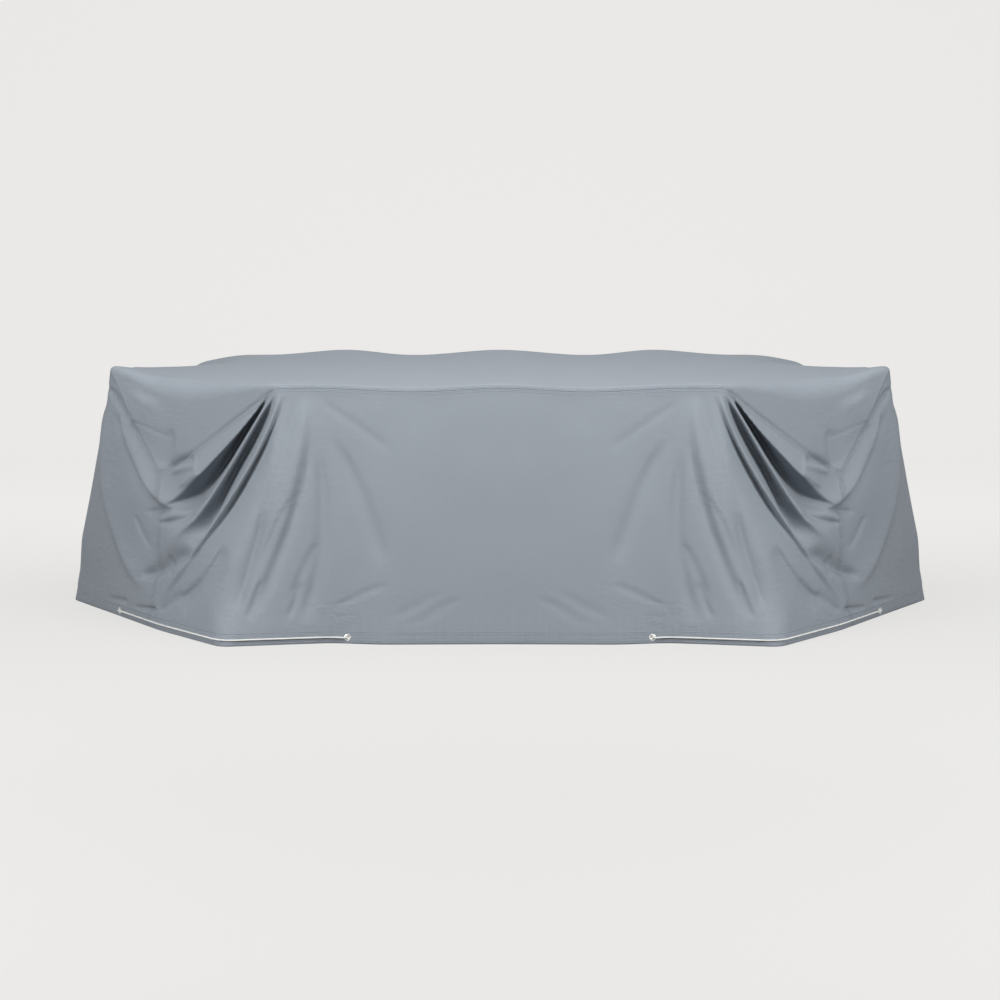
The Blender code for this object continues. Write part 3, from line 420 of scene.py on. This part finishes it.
# ------------ shape of the top panel
def rest_core():
    """The resting outline drawn in by its corner radius, and the direction out of each of its edges."""
    ends = ((0.0, REST_FRONT_Y), (0.0, REST_BACK_Y))
    corners = [np.array(corner) for corner in (ends[0],) + REST_CORNERS + (ends[1],)]
    normals = []
    for start, end in zip(corners[:-1], corners[1:]):
        along = (end - start) / np.linalg.norm(end - start)
        normals.append(np.array((along[1], -along[0])))
    core = [corners[0] - normals[0] * CORNER_RADIUS]
    for corner, before, after in zip(corners[1:-1], normals[:-1], normals[1:]):
        core.append(corner - (before + after) / (1.0 + before @ after) * CORNER_RADIUS)
    core.append(corners[-1] - normals[-1] * CORNER_RADIUS)
    return core, normals


REST_CORE, REST_NORMALS = rest_core()


def from_rest(place):
    """Nearest points of the core, directions out of it and distances beyond the resting edge."""
    nearest = np.zeros_like(place)
    outward = np.zeros_like(place)
    distance = np.full(len(place), np.inf)
    inside = np.full(len(place), True)
    for start, end, normal in zip(REST_CORE[:-1], REST_CORE[1:], REST_NORMALS):
        edge = end - start
        share = np.clip((place - start) @ edge / (edge @ edge), 0.0, 1.0)
        point = start + share[:, None] * edge
        gap = np.linalg.norm(place - point, axis=1)
        closer = gap < distance
        distance = np.where(closer, gap, distance)
        nearest[closer] = point[closer]
        outward[closer] = normal
        inside &= (place - start) @ normal < 0.0
    clear = (distance > 1e-6) & ~inside
    outward[clear] = (place[clear] - nearest[clear]) / distance[clear, None]
    return nearest, outward, np.where(inside, -distance, distance) - CORNER_RADIUS


def top_height(x, y):
    """Height of the resting top at places in plan."""
    rise = ease((y - REST_FRONT_Y) / (REST_BACK_Y - REST_FRONT_Y))
    height = TOP_FRONT_Z + (TOP_BACK_Z - TOP_FRONT_Z) * rise
    for _, centre_x, centre_y, bump, spread_x, spread_y in TOP_RELIEF:
        reach = ((x - centre_x) / spread_x) ** 2 + ((y - centre_y) / spread_y) ** 2
        height = height + bump * np.exp(-reach / 2.0)
    return height


def top_points(x, y):
    """Where places of the flat top panel come to lie, and how far each hangs over the edge."""
    place = np.column_stack((x, y))
    nearest, outward, beyond = from_rest(place)
    share = (nearest[:, 0] - REST_CORNERS[0][0]) / (REST_CORNERS[1][0] - REST_CORNERS[0][0])
    radius = EDGE_RADIUS + FLAP_ROUND * np.sin(math.pi * np.clip(share, 0.0, 1.0)) ** 2 * (y < 0.0)
    half_turn = radius * EDGE_TURN / 2.0
    turned = np.clip((beyond + half_turn) / radius, 0.0, EDGE_TURN)
    hanging = np.maximum(beyond - half_turn, 0.0)
    reach = CORNER_RADIUS + np.minimum(beyond, -half_turn)
    reach = reach + radius * np.sin(turned) + hanging * math.cos(EDGE_TURN)
    pull = FLAP_PULL * hanging * ease(x / SAG_MIDDLE)
    aside = np.column_stack((-outward[:, 1], outward[:, 0])) * pull[:, None]
    level = (beyond < -half_turn)[:, None]
    plan = np.where(level, place, nearest + outward * reach[:, None] - aside)
    to_edge = CORNER_RADIUS + np.minimum(beyond, 0.0)
    edge = np.where(level, place, nearest + outward * to_edge[:, None])
    drop = radius * (1.0 - np.cos(turned)) + hanging * math.sin(EDGE_TURN) * FLAP_TAKE_UP
    return np.column_stack((plan, top_height(edge[:, 0], edge[:, 1]) - drop)), hanging


# ------------ shape of the skirt
def border_places(along):
    """Places on the flat top panel's border, measured from the front middle round one side."""
    x = np.minimum(along, HALF_LENGTH) - np.maximum(along - HALF_LENGTH - DEPTH, 0.0)
    y = FRONT_BORDER_Y + np.clip(along - HALF_LENGTH, 0.0, DEPTH)
    return x, y


def hem_places(along, rounding):
    """Plan of the hem under those places of the border, its corners turned over twice the rounding."""
    corners = np.array(HEM_PLAN)
    turns = np.concatenate(([0.0], np.cumsum(np.linalg.norm(np.diff(corners, axis=0), axis=1))))
    reached = along * turns[-1] / HALF_ROUND
    plan = np.zeros((len(along), 2))
    for step in np.linspace(-1.0, 1.0, ROUNDING_STEPS):
        for axis in range(2):
            plan[:, axis] += np.interp(reached + step * rounding, turns, corners[:, axis]) / ROUNDING_STEPS
    to_middle = np.minimum(reached, turns[-1] - reached)
    plan[:, 0] = np.where(to_middle < rounding, to_middle, plan[:, 0])
    return plan


def straight_skirt(along, height):
    """The skirt without its folds, straight from the border down to the hem, at given heights."""
    seam, _ = top_points(*border_places(along))
    share = np.clip(height / seam[:, 2], 0.0, 1.0)
    nearness = np.exp(-((along - HALF_LENGTH) / CORNER_SEAM_REACH) ** 2)
    along = along - CORNER_SEAM_DRIFT * nearness * 4.0 * share * (1.0 - share)
    seam, hanging = top_points(*border_places(along))
    to_end = np.abs(along - HALF_ROUND / 2.0)
    by_corner = ease((to_end - CALM_END) / (CORNER_START - CALM_END))
    rounding = HEM_ROUNDING + WALL_ROUNDING * (1.0 - (1.0 - share) ** 3) * by_corner
    hem = np.column_stack((hem_places(along, rounding), np.zeros(len(along))))
    share = np.clip(height / seam[:, 2], 0.0, 1.0)[:, None]
    return hem + (seam - hem) * share, seam[:, 2], hanging


# ------------ pleats and creases
def outward_of(points):
    """Level directions out of the cover, which turn smoothly round its corners."""
    x = np.maximum(np.abs(points[:, 0]) - FOLD_CORE_X, 0.0)
    y = np.sign(points[:, 1]) * np.maximum(np.abs(points[:, 1]) - FOLD_CORE_Y, 0.0)
    length = np.maximum(np.hypot(x, y), 1e-9)
    return np.column_stack((x / length, y / length, np.zeros(len(points))))


def curve_through(places, steps):
    """Points of a smooth curve through three or four places, evenly spaced in its own share."""
    knots = np.linspace(0.0, 1.0, len(places))
    share = np.linspace(0.0, 1.0, steps)
    curve = np.zeros((steps, 2))
    for k, place in enumerate(places):
        others = np.delete(knots, k)
        weight = np.prod([(share - other) / (knots[k] - other) for other in others], axis=0)
        curve += weight[:, None] * np.array(place)
    return curve


def nearest_on(line, across, height):
    """Nearest place on a line, in its steps, the distance to it, and 1 on its outer side, else -1."""
    chosen = np.zeros(len(across), dtype=int)
    for part in np.array_split(np.arange(len(across)), max(1, len(across) // CHUNK)):
        gap = (across[part, None] - line[:, 0]) ** 2 + (height[part, None] - line[:, 1]) ** 2
        chosen[part] = np.argmin(gap, axis=1)
    run = np.gradient(line, axis=0)[chosen]
    offset = np.column_stack((across, height)) - line[chosen]
    length = np.linalg.norm(run, axis=1)
    onward = np.sum(offset * run, axis=1) / length
    side = (run[:, 0] * offset[:, 1] - run[:, 1] * offset[:, 0]) / length
    step = chosen + np.clip(onward / length, -0.5, 0.5)
    step = np.clip(step, 0.0, len(line) - 1.0)
    past = np.maximum(np.abs(onward) - length * 0.5, 0.0)
    return step, np.hypot(side, past), np.where(side > 0.0, 1.0, -1.0)


def pleat_reach(across, height):
    """How far out and how far down the pleats move places of the front."""
    rows = []
    for _, *places, rise_height, droop, bend, rise, fall in PLEATS:
        curve = curve_through(places, LINE_STEPS)
        first = curve[0] - curve[1]
        last = curve[-1] - curve[-2]
        beyond = LINE_OVERRUN * np.linspace(0.02, 1.0, OVERRUN_STEPS)[:, None]
        before = curve[0] + first / np.linalg.norm(first) * beyond[::-1]
        after = curve[-1] + last / np.linalg.norm(last) * beyond
        step, distance, side = nearest_on(np.vstack((before, curve, after)), across, height)
        distance = np.hypot(distance, RIDGE_RADIUS) - RIDGE_RADIUS
        share = np.clip((step - len(before)) / (LINE_STEPS - 1.0), 0.0, 1.0)
        grown = 1.0 - (1.0 - np.minimum(share / rise, 1.0)) ** 2
        grown = grown * ease((1.0 - share) / fall)
        bend = bend + (min(bend, BEND_END) - bend) * share ** 2
        rows.append((distance, side, rise_height * grown, droop * grown, rise_height, bend))
    out = np.zeros(len(across))
    down = np.zeros(len(across))
    for upper, lower in zip(rows[:-1], rows[1:]):
        below = upper[1] < 0.0
        share = upper[0] / np.maximum(upper[0] + lower[0], 1e-9)
        bend = upper[5]
        share = 1.0 - (1.0 - share) ** bend if upper[4] > lower[4] else share ** bend
        out = np.where(below, upper[2] + (lower[2] - upper[2]) * share, out)
        down = np.where(below, upper[3] + (lower[3] - upper[3]) * share, down)
    distance, side, grown = rows[-1][:3]
    return np.where(side < 0.0, grown * np.exp(-(distance / SWELL_REACH) ** 2), out), down


def crease_reach(across, height, crease):
    """How much of one crease reaches places of its face, from 0 beside it to 1 on its line."""
    _, _, start, middle, end, outer_width, inner_width, _, crispness = crease
    line = curve_through((start, middle, end), LINE_STEPS)
    near = max(outer_width, inner_width) * CREASE_REACH
    low, high = line.min(axis=0) - near, line.max(axis=0) + near
    shape = np.zeros(len(across))
    close = (across > low[0]) & (across < high[0]) & (height > low[1]) & (height < high[1])
    if not close.any():
        return shape
    step, distance, side = nearest_on(line, across[close], height[close])
    distance = np.hypot(distance, CREASE_RADIUS) - CREASE_RADIUS
    share = step / (LINE_STEPS - 1.0)
    width = np.where(side > 0.0, outer_width, inner_width)
    width = width * (CREASE_NARROW + (1.0 - CREASE_NARROW) * ease(2.0 * share))
    grown = ease(share / CREASE_FADE + CREASE_LEAD)
    faded = ease((1.0 - share) / CREASE_FADE + CREASE_LEAD)
    shape[close] = np.exp(-(distance / width) ** crispness) * grown * faded
    return shape


def folded(points, weight):
    """The points moved by the pleats and creases, as much as weight says."""
    distance = np.abs(points[:, 0])
    front = ease((FRONT_FOLDS_FROM - points[:, 1]) / FACE_BLEND)
    faces = {
        "front": (distance, front),
        "end": (points[:, 1], ease((distance - END_FOLDS_FROM) / END_BLEND)),
        "back": (distance, ease((points[:, 1] - BACK_FOLDS_FROM) / FACE_BLEND)),
    }
    out, down = pleat_reach(distance, points[:, 2])
    out, down = out * front, down * front
    for crease in CREASES:
        across, share = faces[crease[1]]
        out += crease[7] * crease_reach(across, points[:, 2], crease) * share
    weight = weight * ease((points[:, 2] - HEM_BAND) / HEM_CALM)
    moved = points + outward_of(points) * (out * weight)[:, None]
    moved[:, 2] -= down * weight
    return moved


def uneven(points, amount):
    """Slight sags in every direction, as much as amount says."""
    even = points.copy()
    even[:, 0] = np.hypot(points[:, 0], SAG_MIDDLE)
    shift = np.array([noise.noise_vector(Vector(point) * SAG_SCALE) for point in even])
    shift[:, 0] *= ease(points[:, 0] / SAG_MIDDLE)
    return points + shift * (SAG * amount)[:, None]


def seam_pinch(distance, along):
    """How deep a seam draws the cloth in, less where the flap's tip hides it."""
    begun = ease((along - HALF_LENGTH + HIDDEN_LEAD) / HIDDEN_LEAD)
    hidden = begun * ease((HALF_LENGTH + HIDDEN_RUN - along) / HIDDEN_FADE)
    return SEAM_PINCH * (1.0 - HIDDEN_SHARE * hidden) * np.exp(-(distance / SEAM_WIDTH) ** 2)


def draped_top(x, y):
    """The top panel with its flaps' folds, at places of the flat panel."""
    points, hanging = top_points(x, y)
    points = folded(points, ease(hanging / SEAM_CALM))
    seam = top_seam_distance(x, y)
    points = uneven(points, ease(seam / SEAM_CALM))
    upright = ease(hanging / EDGE_RADIUS + 0.5)
    outward = outward_of(points) * upright[:, None]
    outward[:, 2] = 1.0 - upright
    by_end = np.abs(x) > HALF_LENGTH - END_SEAM_BAND
    along = np.minimum(np.abs(x), HALF_LENGTH) + (y - FRONT_BORDER_Y) * by_end
    return points - outward * seam_pinch(seam, along)[:, None]


def skirt_place(along, share):
    """Height of places of the skirt, their distance below its border, to the nearest seam, and hanging."""
    seam, hanging = top_points(*border_places(along))
    seam_height = seam[:, 2]
    in_band = HEM_BAND * (2.0 - share)
    height = np.where(share > 1.0, in_band, HEM_BAND + (seam_height - HEM_BAND) * (1.0 - share))
    border = seam_height - height
    to_corner = np.minimum(np.abs(along - HALF_LENGTH), np.abs(along - HALF_LENGTH - DEPTH))
    return height, border, np.minimum(border, to_corner), hanging


def draped_skirt(along, share):
    """The skirt with its folds: share 0 is its border, 1 the top of the hem's band and 2 the hem."""
    height, border, nearest, hanging = skirt_place(along, share)
    points, _, _ = straight_skirt(along, height)
    points = folded(points, np.maximum(ease(hanging / SEAM_CALM), ease(border / SEAM_CALM)))
    points = uneven(points, ease(nearest / SEAM_CALM) * ease(height / FLOOR_CALM))
    return points - outward_of(points) * seam_pinch(nearest, along)[:, None]


def top_seam_distance(x, y):
    """Distance from the top panel's border."""
    to_end = HALF_LENGTH - np.abs(x)
    to_side = np.minimum(y - FRONT_BORDER_Y, FRONT_BORDER_Y + DEPTH - y)
    return np.minimum(to_end, to_side)


# ------------ eyelets' places
def eyelet_frame(along, side):
    """Where an eyelet sits on the hem: its middle, and the directions along the hem, up and out."""
    places = np.array((along - EYELET_FIELD, along + EYELET_FIELD))
    low, _, _ = straight_skirt(places, np.zeros(2))
    high, _, _ = straight_skirt(places, np.full(2, HEM_BAND))
    corners = [Vector((side * point[0], point[1], point[2])) for point in (*low, *high)]
    middle = sum(corners, Vector()) / 4.0
    run = (corners[1] + corners[3] - corners[0] - corners[2]).normalized() * side
    up = (corners[2] + corners[3] - corners[0] - corners[1]).normalized()
    out = run.cross(up).normalized()
    return middle, Matrix((run, out.cross(run), out)).transposed().to_4x4()


EYELETS = [eyelet_frame(along, 1.0) for along in (FRONT_EYELET_ALONG, END_EYELET_ALONG)]


def flattened(points):
    """The cloth pressed flat round each eyelet."""
    for middle, turn in EYELETS:
        offset = points - np.array(middle)
        out = np.array(turn.col[2][:3])
        proud = offset @ out
        near = ease((EYELET_FLAT - np.linalg.norm(offset, axis=1)) / EYELET_FLAT_FADE)
        points = points - out * (proud * near)[:, None]
    return points


# ------------ the panels
def lay(bm, drape):
    """Move the points of a grid to where their places come to lie."""
    place = bm.verts.layers.float_vector["place"]
    places = np.array([vert[place] for vert in bm.verts])
    points = flattened(drape(places[:, 0], places[:, 1]))
    for vert, point in zip(bm.verts, points):
        vert.co = point


def cut_finer(bm):
    """Halve the edges of a grid near the eyelets."""
    near = []
    for edge in bm.edges:
        length = edge.calc_length()
        reach = EYELET_CLEAR + EYELET_CELL + length
        close = [middle for middle, _ in EYELETS if (edge.verts[0].co - middle).length < reach]
        if length > EYELET_CELL and close:
            near.append(edge)
    if near:
        bmesh.ops.subdivide_edges(bm, edges=near, cuts=1, use_grid_fill=True)
    return bool(near)


def make_panel(name, columns, rows, drape, measure, both_sides, finish):
    """One panel of cloth: a flat grid laid as it hangs, for the right half or, mirrored, for both.

    measure gives for each place its distance from a seam, its height over the hem and its place
    along the seam, which the cloth's finish reads, and the UV map holds its place on the flat cloth.
    """
    steps_x, steps_y = len(columns) - 1, len(rows) - 1
    bm = bmesh.new()
    bmesh.ops.create_grid(bm, x_segments=steps_x, y_segments=steps_y, size=0.5)
    place = bm.verts.layers.float_vector.new("place")
    for vert in bm.verts:
        column = round((vert.co.x + 0.5) * steps_x)
        row = round((vert.co.y + 0.5) * steps_y)
        vert[place] = (columns[column], rows[row], 0.0)
    lay(bm, drape)
    if cut_finer(bm) and cut_finer(bm):
        lay(bm, drape)
    for middle, _ in EYELETS:
        pierced = [face for face in bm.faces
                   if (face.calc_center_median() - middle).length < EYELET_CLEAR]
        if pierced:
            bmesh.ops.delete(bm, geom=pierced, context="FACES")
    places = np.array([vert[place] for vert in bm.verts])
    edges = bm.verts.layers.float_vector.new("edges")
    cut = bm.loops.layers.uv.new("cut")
    measures = np.column_stack(measure(places[:, 0], places[:, 1]))
    for vert, (from_seam, from_hem, u, v) in zip(bm.verts, measures):
        vert[edges] = (from_seam, from_hem, u)
        for loop in vert.link_loops:
            loop[cut].uv = (u, v)
    if both_sides:
        bmesh.ops.mirror(bm, geom=bm.verts[:] + bm.edges[:] + bm.faces[:], merge_dist=1e-4, axis="X")
    bmesh.ops.recalc_face_normals(bm, faces=bm.faces[:])
    sample = bm.faces[0]
    outward = sample.calc_center_median() - Vector(CLOTH_MIDDLE)
    if sample.normal.dot(outward) < 0.0:
        bmesh.ops.reverse_faces(bm, faces=bm.faces[:])
    panel = new_object(name, bm)
    finish_panel(panel, name, finish)
    return panel


def finish_panel(panel, node, finish):
    wall = panel.modifiers.new("thickness", "SOLIDIFY")
    wall.thickness = SHEET
    wall.offset = -1.0
    panel.data.materials.append(finish)
    panel.name = node + "_cloth"
    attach(panel, "root")
    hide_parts(node)


def top_measure(x, y):
    return top_seam_distance(x, y), np.full(len(x), 1.0), x, y


def skirt_measure(along, share):
    height, _, nearest, _ = skirt_place(along, share)
    return nearest, height, along, height


def make_cloth(finish):
    """The top, front and back panels, each whole, and the right end panel with its mirrored twin."""
    front_columns, back_columns, top_columns = [grid_lines(LENGTH_CELLS, k) for k in range(3)]
    end_columns, top_rows = [grid_lines(DEPTH_CELLS, k) for k in range(2)]
    rows, back_rows = [grid_lines(SKIRT_CELLS, k) for k in range(2)]
    make_panel("top_panel", top_columns, [FRONT_BORDER_Y + place for place in top_rows],
               draped_top, top_measure, True, finish)
    make_panel("front_panel", front_columns, rows,
               draped_skirt, skirt_measure, True, finish)
    make_panel("back_panel", back_columns, back_rows,
               lambda x, row: draped_skirt(HALF_ROUND - x, row),
               lambda x, row: skirt_measure(HALF_ROUND - x, row), True, finish)
    right = make_panel("right_end_panel", [HALF_LENGTH + place for place in end_columns], rows,
                       draped_skirt, skirt_measure, False, finish)
    bm = bmesh.new()
    bm.from_mesh(right.data)
    bmesh.ops.scale(bm, vec=(-1.0, 1.0, 1.0), verts=bm.verts[:])
    bmesh.ops.reverse_faces(bm, faces=bm.faces[:])
    finish_panel(new_object("left_end_panel", bm), "left_end_panel", finish)


# ------------ eyelets
def make_eyelet(node, along, side, finish):
    """A flanged ring with a rounded lip, pressed through the hem."""
    middle, turn = eyelet_frame(along, side)
    bm = bmesh.new()
    ring = [bm.verts.new((radius, 0.0, height)) for radius, height in EYELET_PROFILE]
    edges = [bm.edges.new(pair) for pair in zip(ring, ring[1:] + ring[:1])]
    bmesh.ops.spin(bm, geom=ring + edges, cent=(0.0, 0.0, 0.0), axis=(0.0, 0.0, 1.0),
                   angle=math.tau, steps=EYELET_SIDES, use_merge=True)
    bmesh.ops.remove_doubles(bm, verts=bm.verts[:], dist=1e-6)
    bmesh.ops.transform(bm, matrix=Matrix.Translation(middle) @ turn, verts=bm.verts[:])
    bmesh.ops.recalc_face_normals(bm, faces=bm.faces[:])
    eyelet = new_object(node + "_ring", bm)
    eyelet.data.materials.append(finish)
    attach(eyelet, "root")
    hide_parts(node)


# ------------ cords
def cord_route():
    """The right cord's way: out of the front eyelet, along outside the hem and in at the end eyelet."""
    first, last = FRONT_EYELET_ALONG, END_EYELET_ALONG
    middle = np.linspace(first + CORD_END_RUN, last - CORD_END_RUN, CORD_PLACES)
    runs, outs = np.array(CORD_ENDS).T
    along = np.concatenate((first + runs, middle, last - runs[::-1]))
    off = np.concatenate((outs, np.full(CORD_PLACES, CORD_CLEAR), outs[::-1]))
    height = np.full(len(along), CORD_HEIGHT)
    wall, before, after = (straight_skirt(along + step, height)[0] for step in (0.0, -CORD_LOOK, CORD_LOOK))
    run = after - before
    outward = np.column_stack((run[:, 1], -run[:, 0], np.zeros(len(run))))
    outward /= np.linalg.norm(outward, axis=1)[:, None]
    return [tuple(point) for point in wall + outward * off[:, None]]


def smooth_route(points, spacing):
    """Evenly spaced points on a smooth curve through the route's points."""
    points = [Vector(point) for point in points]
    points = [points[0] * 2.0 - points[1]] + points + [points[-1] * 2.0 - points[-2]]
    curve = []
    for before, start, end, after in zip(points, points[1:], points[2:], points[3:]):
        for step in range(CURVE_STEPS):
            t = step / CURVE_STEPS
            curve.append(0.5 * (2.0 * start + (end - before) * t
                                + (2.0 * before - 5.0 * start + 4.0 * end - after) * t ** 2
                                + (3.0 * start - before - 3.0 * end + after) * t ** 3))
    curve.append(points[-2])
    reached = [0.0]
    for start, end in zip(curve, curve[1:]):
        reached.append(reached[-1] + (end - start).length)
    count = max(2, round(reached[-1] / spacing))
    wanted = np.linspace(0.0, reached[-1], count + 1)
    return [Vector(point) for point in np.column_stack(
        [np.interp(wanted, reached, [point[axis] for point in curve]) for axis in range(3)])]


def make_cord(side, word, finish):
    """A taut drawcord, in at the front eyelet and out of sight again at the end one."""
    route = smooth_route([(side * x, y, z) for x, y, z in cord_route()], CORD_STEP)
    curve = bpy.data.curves.new(word + "_drawcord", "CURVE")
    curve.dimensions = "3D"
    curve.bevel_depth = CORD_DIAMETER / 2.0
    curve.bevel_resolution = CORD_SIDES
    curve.use_fill_caps = True
    spline = curve.splines.new("POLY")
    spline.points.add(len(route) - 1)
    for place, point in zip(spline.points, route):
        place.co = (*point, 1.0)
    cord = add_object(word + "_drawcord", curve)
    curve.materials.append(finish)
    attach(cord, "root")
    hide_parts(word + "_cord")


# ------------ finishes
def sum_of(operation):
    """The method that joins a wire and another value by one operation of a Math node."""
    return lambda self, other: self.math(operation, other)


class Wire:
    """A shader's socket that takes part in sums, and makes the other nodes of its tree."""

    __add__ = __radd__ = sum_of("ADD")
    __mul__ = __rmul__ = sum_of("MULTIPLY")
    __sub__ = sum_of("SUBTRACT")
    __truediv__ = sum_of("DIVIDE")

    def __init__(self, tree, socket=None):
        self.tree = tree
        self.socket = socket

    def node(self, kind, inputs, output=0, **settings):
        """A new node, its inputs given by name or place as numbers or wires: the wire of one output."""
        item = self.tree.nodes.new(kind)
        for key, value in settings.items():
            setattr(item, key, value)
        for key, value in inputs.items():
            if isinstance(value, Wire):
                self.tree.links.new(value.socket, item.inputs[key])
            else:
                item.inputs[key].default_value = value
        return Wire(self.tree, item.outputs[output])

    def math(self, operation, *values):
        return self.node("ShaderNodeMath", dict(enumerate((self, *values))), operation=operation)

    def __rsub__(self, other):
        return self.math("MULTIPLY", -1.0).math("ADD", other)

    def within(self, low, high):
        """0 below low, 1 above high and smooth between, or the other way round."""
        limits = {"Value": self, "From Min": min(low, high), "From Max": max(low, high),
                  "To Min": float(low > high), "To Max": float(low < high)}
        return self.node("ShaderNodeMapRange", limits, interpolation_type="SMOOTHSTEP")

    def line(self, place, half_width):
        """1 on one value and 0 beyond half a width from it."""
        return (self - place).math("ABSOLUTE").within(half_width, half_width * 0.3)

    def noise(self, scale, detail=2.0, warp=0.0):
        inputs = {"Vector": self, "Scale": scale, "Detail": detail, "Distortion": warp}
        return self.node("ShaderNodeTexNoise", inputs)

    def part(self, axis):
        return self.node("ShaderNodeSeparateXYZ", {0: self}, output=axis)

    def stretched(self, across, up):
        """The same place with its first two numbers multiplied."""
        return self.node("ShaderNodeVectorMath", {0: self, 1: (across, up, 1.0)}, operation="MULTIPLY")


def plain_finish(name, colour, roughness, metallic=0.0):
    material = bpy.data.materials.new(name)
    material.use_nodes = True
    shader = material.node_tree.nodes["Principled BSDF"]
    shader.inputs["Base Color"].default_value = (*colour, 1.0)
    shader.inputs["Roughness"].default_value = roughness
    shader.inputs["Metallic"].default_value = metallic
    return material


def dress(material, colour, shade, roughness, height):
    """Join a shade of one colour, a roughness and a height in metres to a finish's shader."""
    tree = material.node_tree
    shader = tree.nodes["Principled BSDF"]
    scaled = shade.node("ShaderNodeVectorMath", {0: colour, "Scale": shade}, operation="SCALE")
    bump = height.node("ShaderNodeBump", {"Height": height, "Distance": 1.0, "Strength": 1.0})
    tree.links.new(scaled.socket, shader.inputs["Base Color"])
    tree.links.new(roughness.socket, shader.inputs["Roughness"])
    tree.links.new(bump.socket, shader.inputs["Normal"])


def cloth_finish():
    """Coated woven polyester: a fine weave, crinkles, topstitching by its seams and in its hem, and painted
    shade in the furrows along the stitching.
    """
    material = plain_finish("cover_cloth", CLOTH_COLOUR, 0.72)
    start = Wire(material.node_tree)
    cut = start.node("ShaderNodeUVMap", {}, uv_map="cut")
    edges = start.node("ShaderNodeAttribute", {}, output="Vector", attribute_name="edges")
    seam, hem, run = (edges.part(axis) for axis in range(3))
    across, up = cut.part(0), cut.part(1)

    warp = (across * (math.tau / WEAVE_PITCH)).math("SINE")
    weft = (up * (math.tau / WEAVE_PITCH)).math("SINE")
    weave = warp * weft
    mottle = cut.noise(5.0, 3.0)
    slub = cut.stretched(260.0, 18.0).noise(1.0) + cut.stretched(18.0, 260.0).noise(1.0)

    patches = cut.noise(3.4, 1.0).within(0.42, 0.62)
    busy = run.within(0.25, 0.65) * 0.8 + 0.2
    creases = (cut.stretched(1.0, 1.7).noise(15.0, 3.0, 0.2) - 0.5).math("ABSOLUTE")
    fine_creases = (cut.stretched(1.0, 2.2).noise(38.0, 3.0, 0.3) - 0.5).math("ABSOLUTE")
    low = hem.within(0.260, 0.020)
    crumple = (creases * (0.0014 + 0.0030 * patches) + fine_creases * (0.0004 + 0.0012 * patches)) * busy
    crumple = crumple + (creases * 0.0016 + fine_creases * 0.0010) * low
    drawn = cut.stretched(46.0, 5.0).noise(1.0, 1.0) * hem.within(0.130, 0.030) * 0.0030
    pucker = cut.stretched(70.0, 70.0).noise(1.0, 1.0) * seam.within(0.030, 0.004) * 0.0016

    waver = cut.noise(9.0) * 0.004 - 0.002
    dash = (run / STITCH_PITCH).math("FRACT").line(0.5, 0.42)
    by_seam = seam.line(SEAM_STITCH, STITCH_WIDTH) + seam.line(SEAM_STITCH * 2.0, STITCH_WIDTH)
    upper, lower = ((hem + waver * 0.3).line(place, STITCH_WIDTH) for place in BAND_STITCHES)
    in_hem = upper + lower
    thread = (by_seam + in_hem) * dash
    first = (hem + waver).line(BAND_FURROWS[0], FURROW_WIDTH)
    second = (hem - waver).line(BAND_FURROWS[1], FURROW_WIDTH)
    # furrow marks the sunk lines: it lowers the surface there, and below it darkens the colour as painted
    # shade in those grooves
    furrow = by_seam + in_hem + 0.6 * first + 0.6 * second
    doubled = (hem + waver * 0.2).within(HEM_BAND + 0.001, HEM_BAND - 0.0005)

    height = weave * 0.00003 + crumple + drawn + pucker + doubled * 0.0012 - furrow * 0.0005
    shade = 0.95 + mottle * 0.09 + weave * 0.035 + (slub - 1.0) * 0.05
    # the furrow term darkens the colour as painted shade in the sunk grooves by the seams and in the hem
    shade = shade * (1.0 - thread * 0.22 - furrow * 0.10)
    roughness = 0.66 + mottle * 0.12 + thread * 0.10
    dress(material, CLOTH_COLOUR, shade, roughness, height)
    return material


def cord_finish():
    """White braid: strands that cross along the cord."""
    material = plain_finish("cord_braid", CORD_COLOUR, 0.8)
    place = Wire(material.node_tree).node("ShaderNodeTexCoord", {}, output="Object")
    along, up = place.part(0) - place.part(1), place.part(2)
    one = ((along + up * BRAID_SLANT) * (math.tau / BRAID_PITCH)).math("SINE")
    other = ((along - up * BRAID_SLANT) * (math.tau / BRAID_PITCH)).math("SINE")
    braid = one.math("MAXIMUM", other)
    dress(material, CORD_COLOUR, 0.90 + braid * 0.08, 0.78 + place.noise(300.0) * 0.1, braid * 0.0002)
    return material


def metal_finish():
    """Bright nickel with faint wear."""
    material = plain_finish("eyelet_nickel", EYELET_COLOUR, 0.25, 1.0)
    place = Wire(material.node_tree).node("ShaderNodeTexCoord", {}, output="Object")
    wear = place.noise(420.0, 3.0)
    dress(material, EYELET_COLOUR, 0.92 + wear * 0.12, 0.18 + wear * 0.22, wear * 0.00002)
    return material


def main():
    noise.seed_set(SAG_SEED)
    make_camera()
    braid = cord_finish()
    for side, word in SIDES:
        make_cord(side, word, braid)
    make_lights()
    make_floor()
    make_cloth(cloth_finish())
    metal = metal_finish()
    for side, word in SIDES:
        make_eyelet(f"front_{word}_eyelet", FRONT_EYELET_ALONG, side, metal)
        make_eyelet(f"{word}_end_eyelet", END_EYELET_ALONG, side, metal)


main()
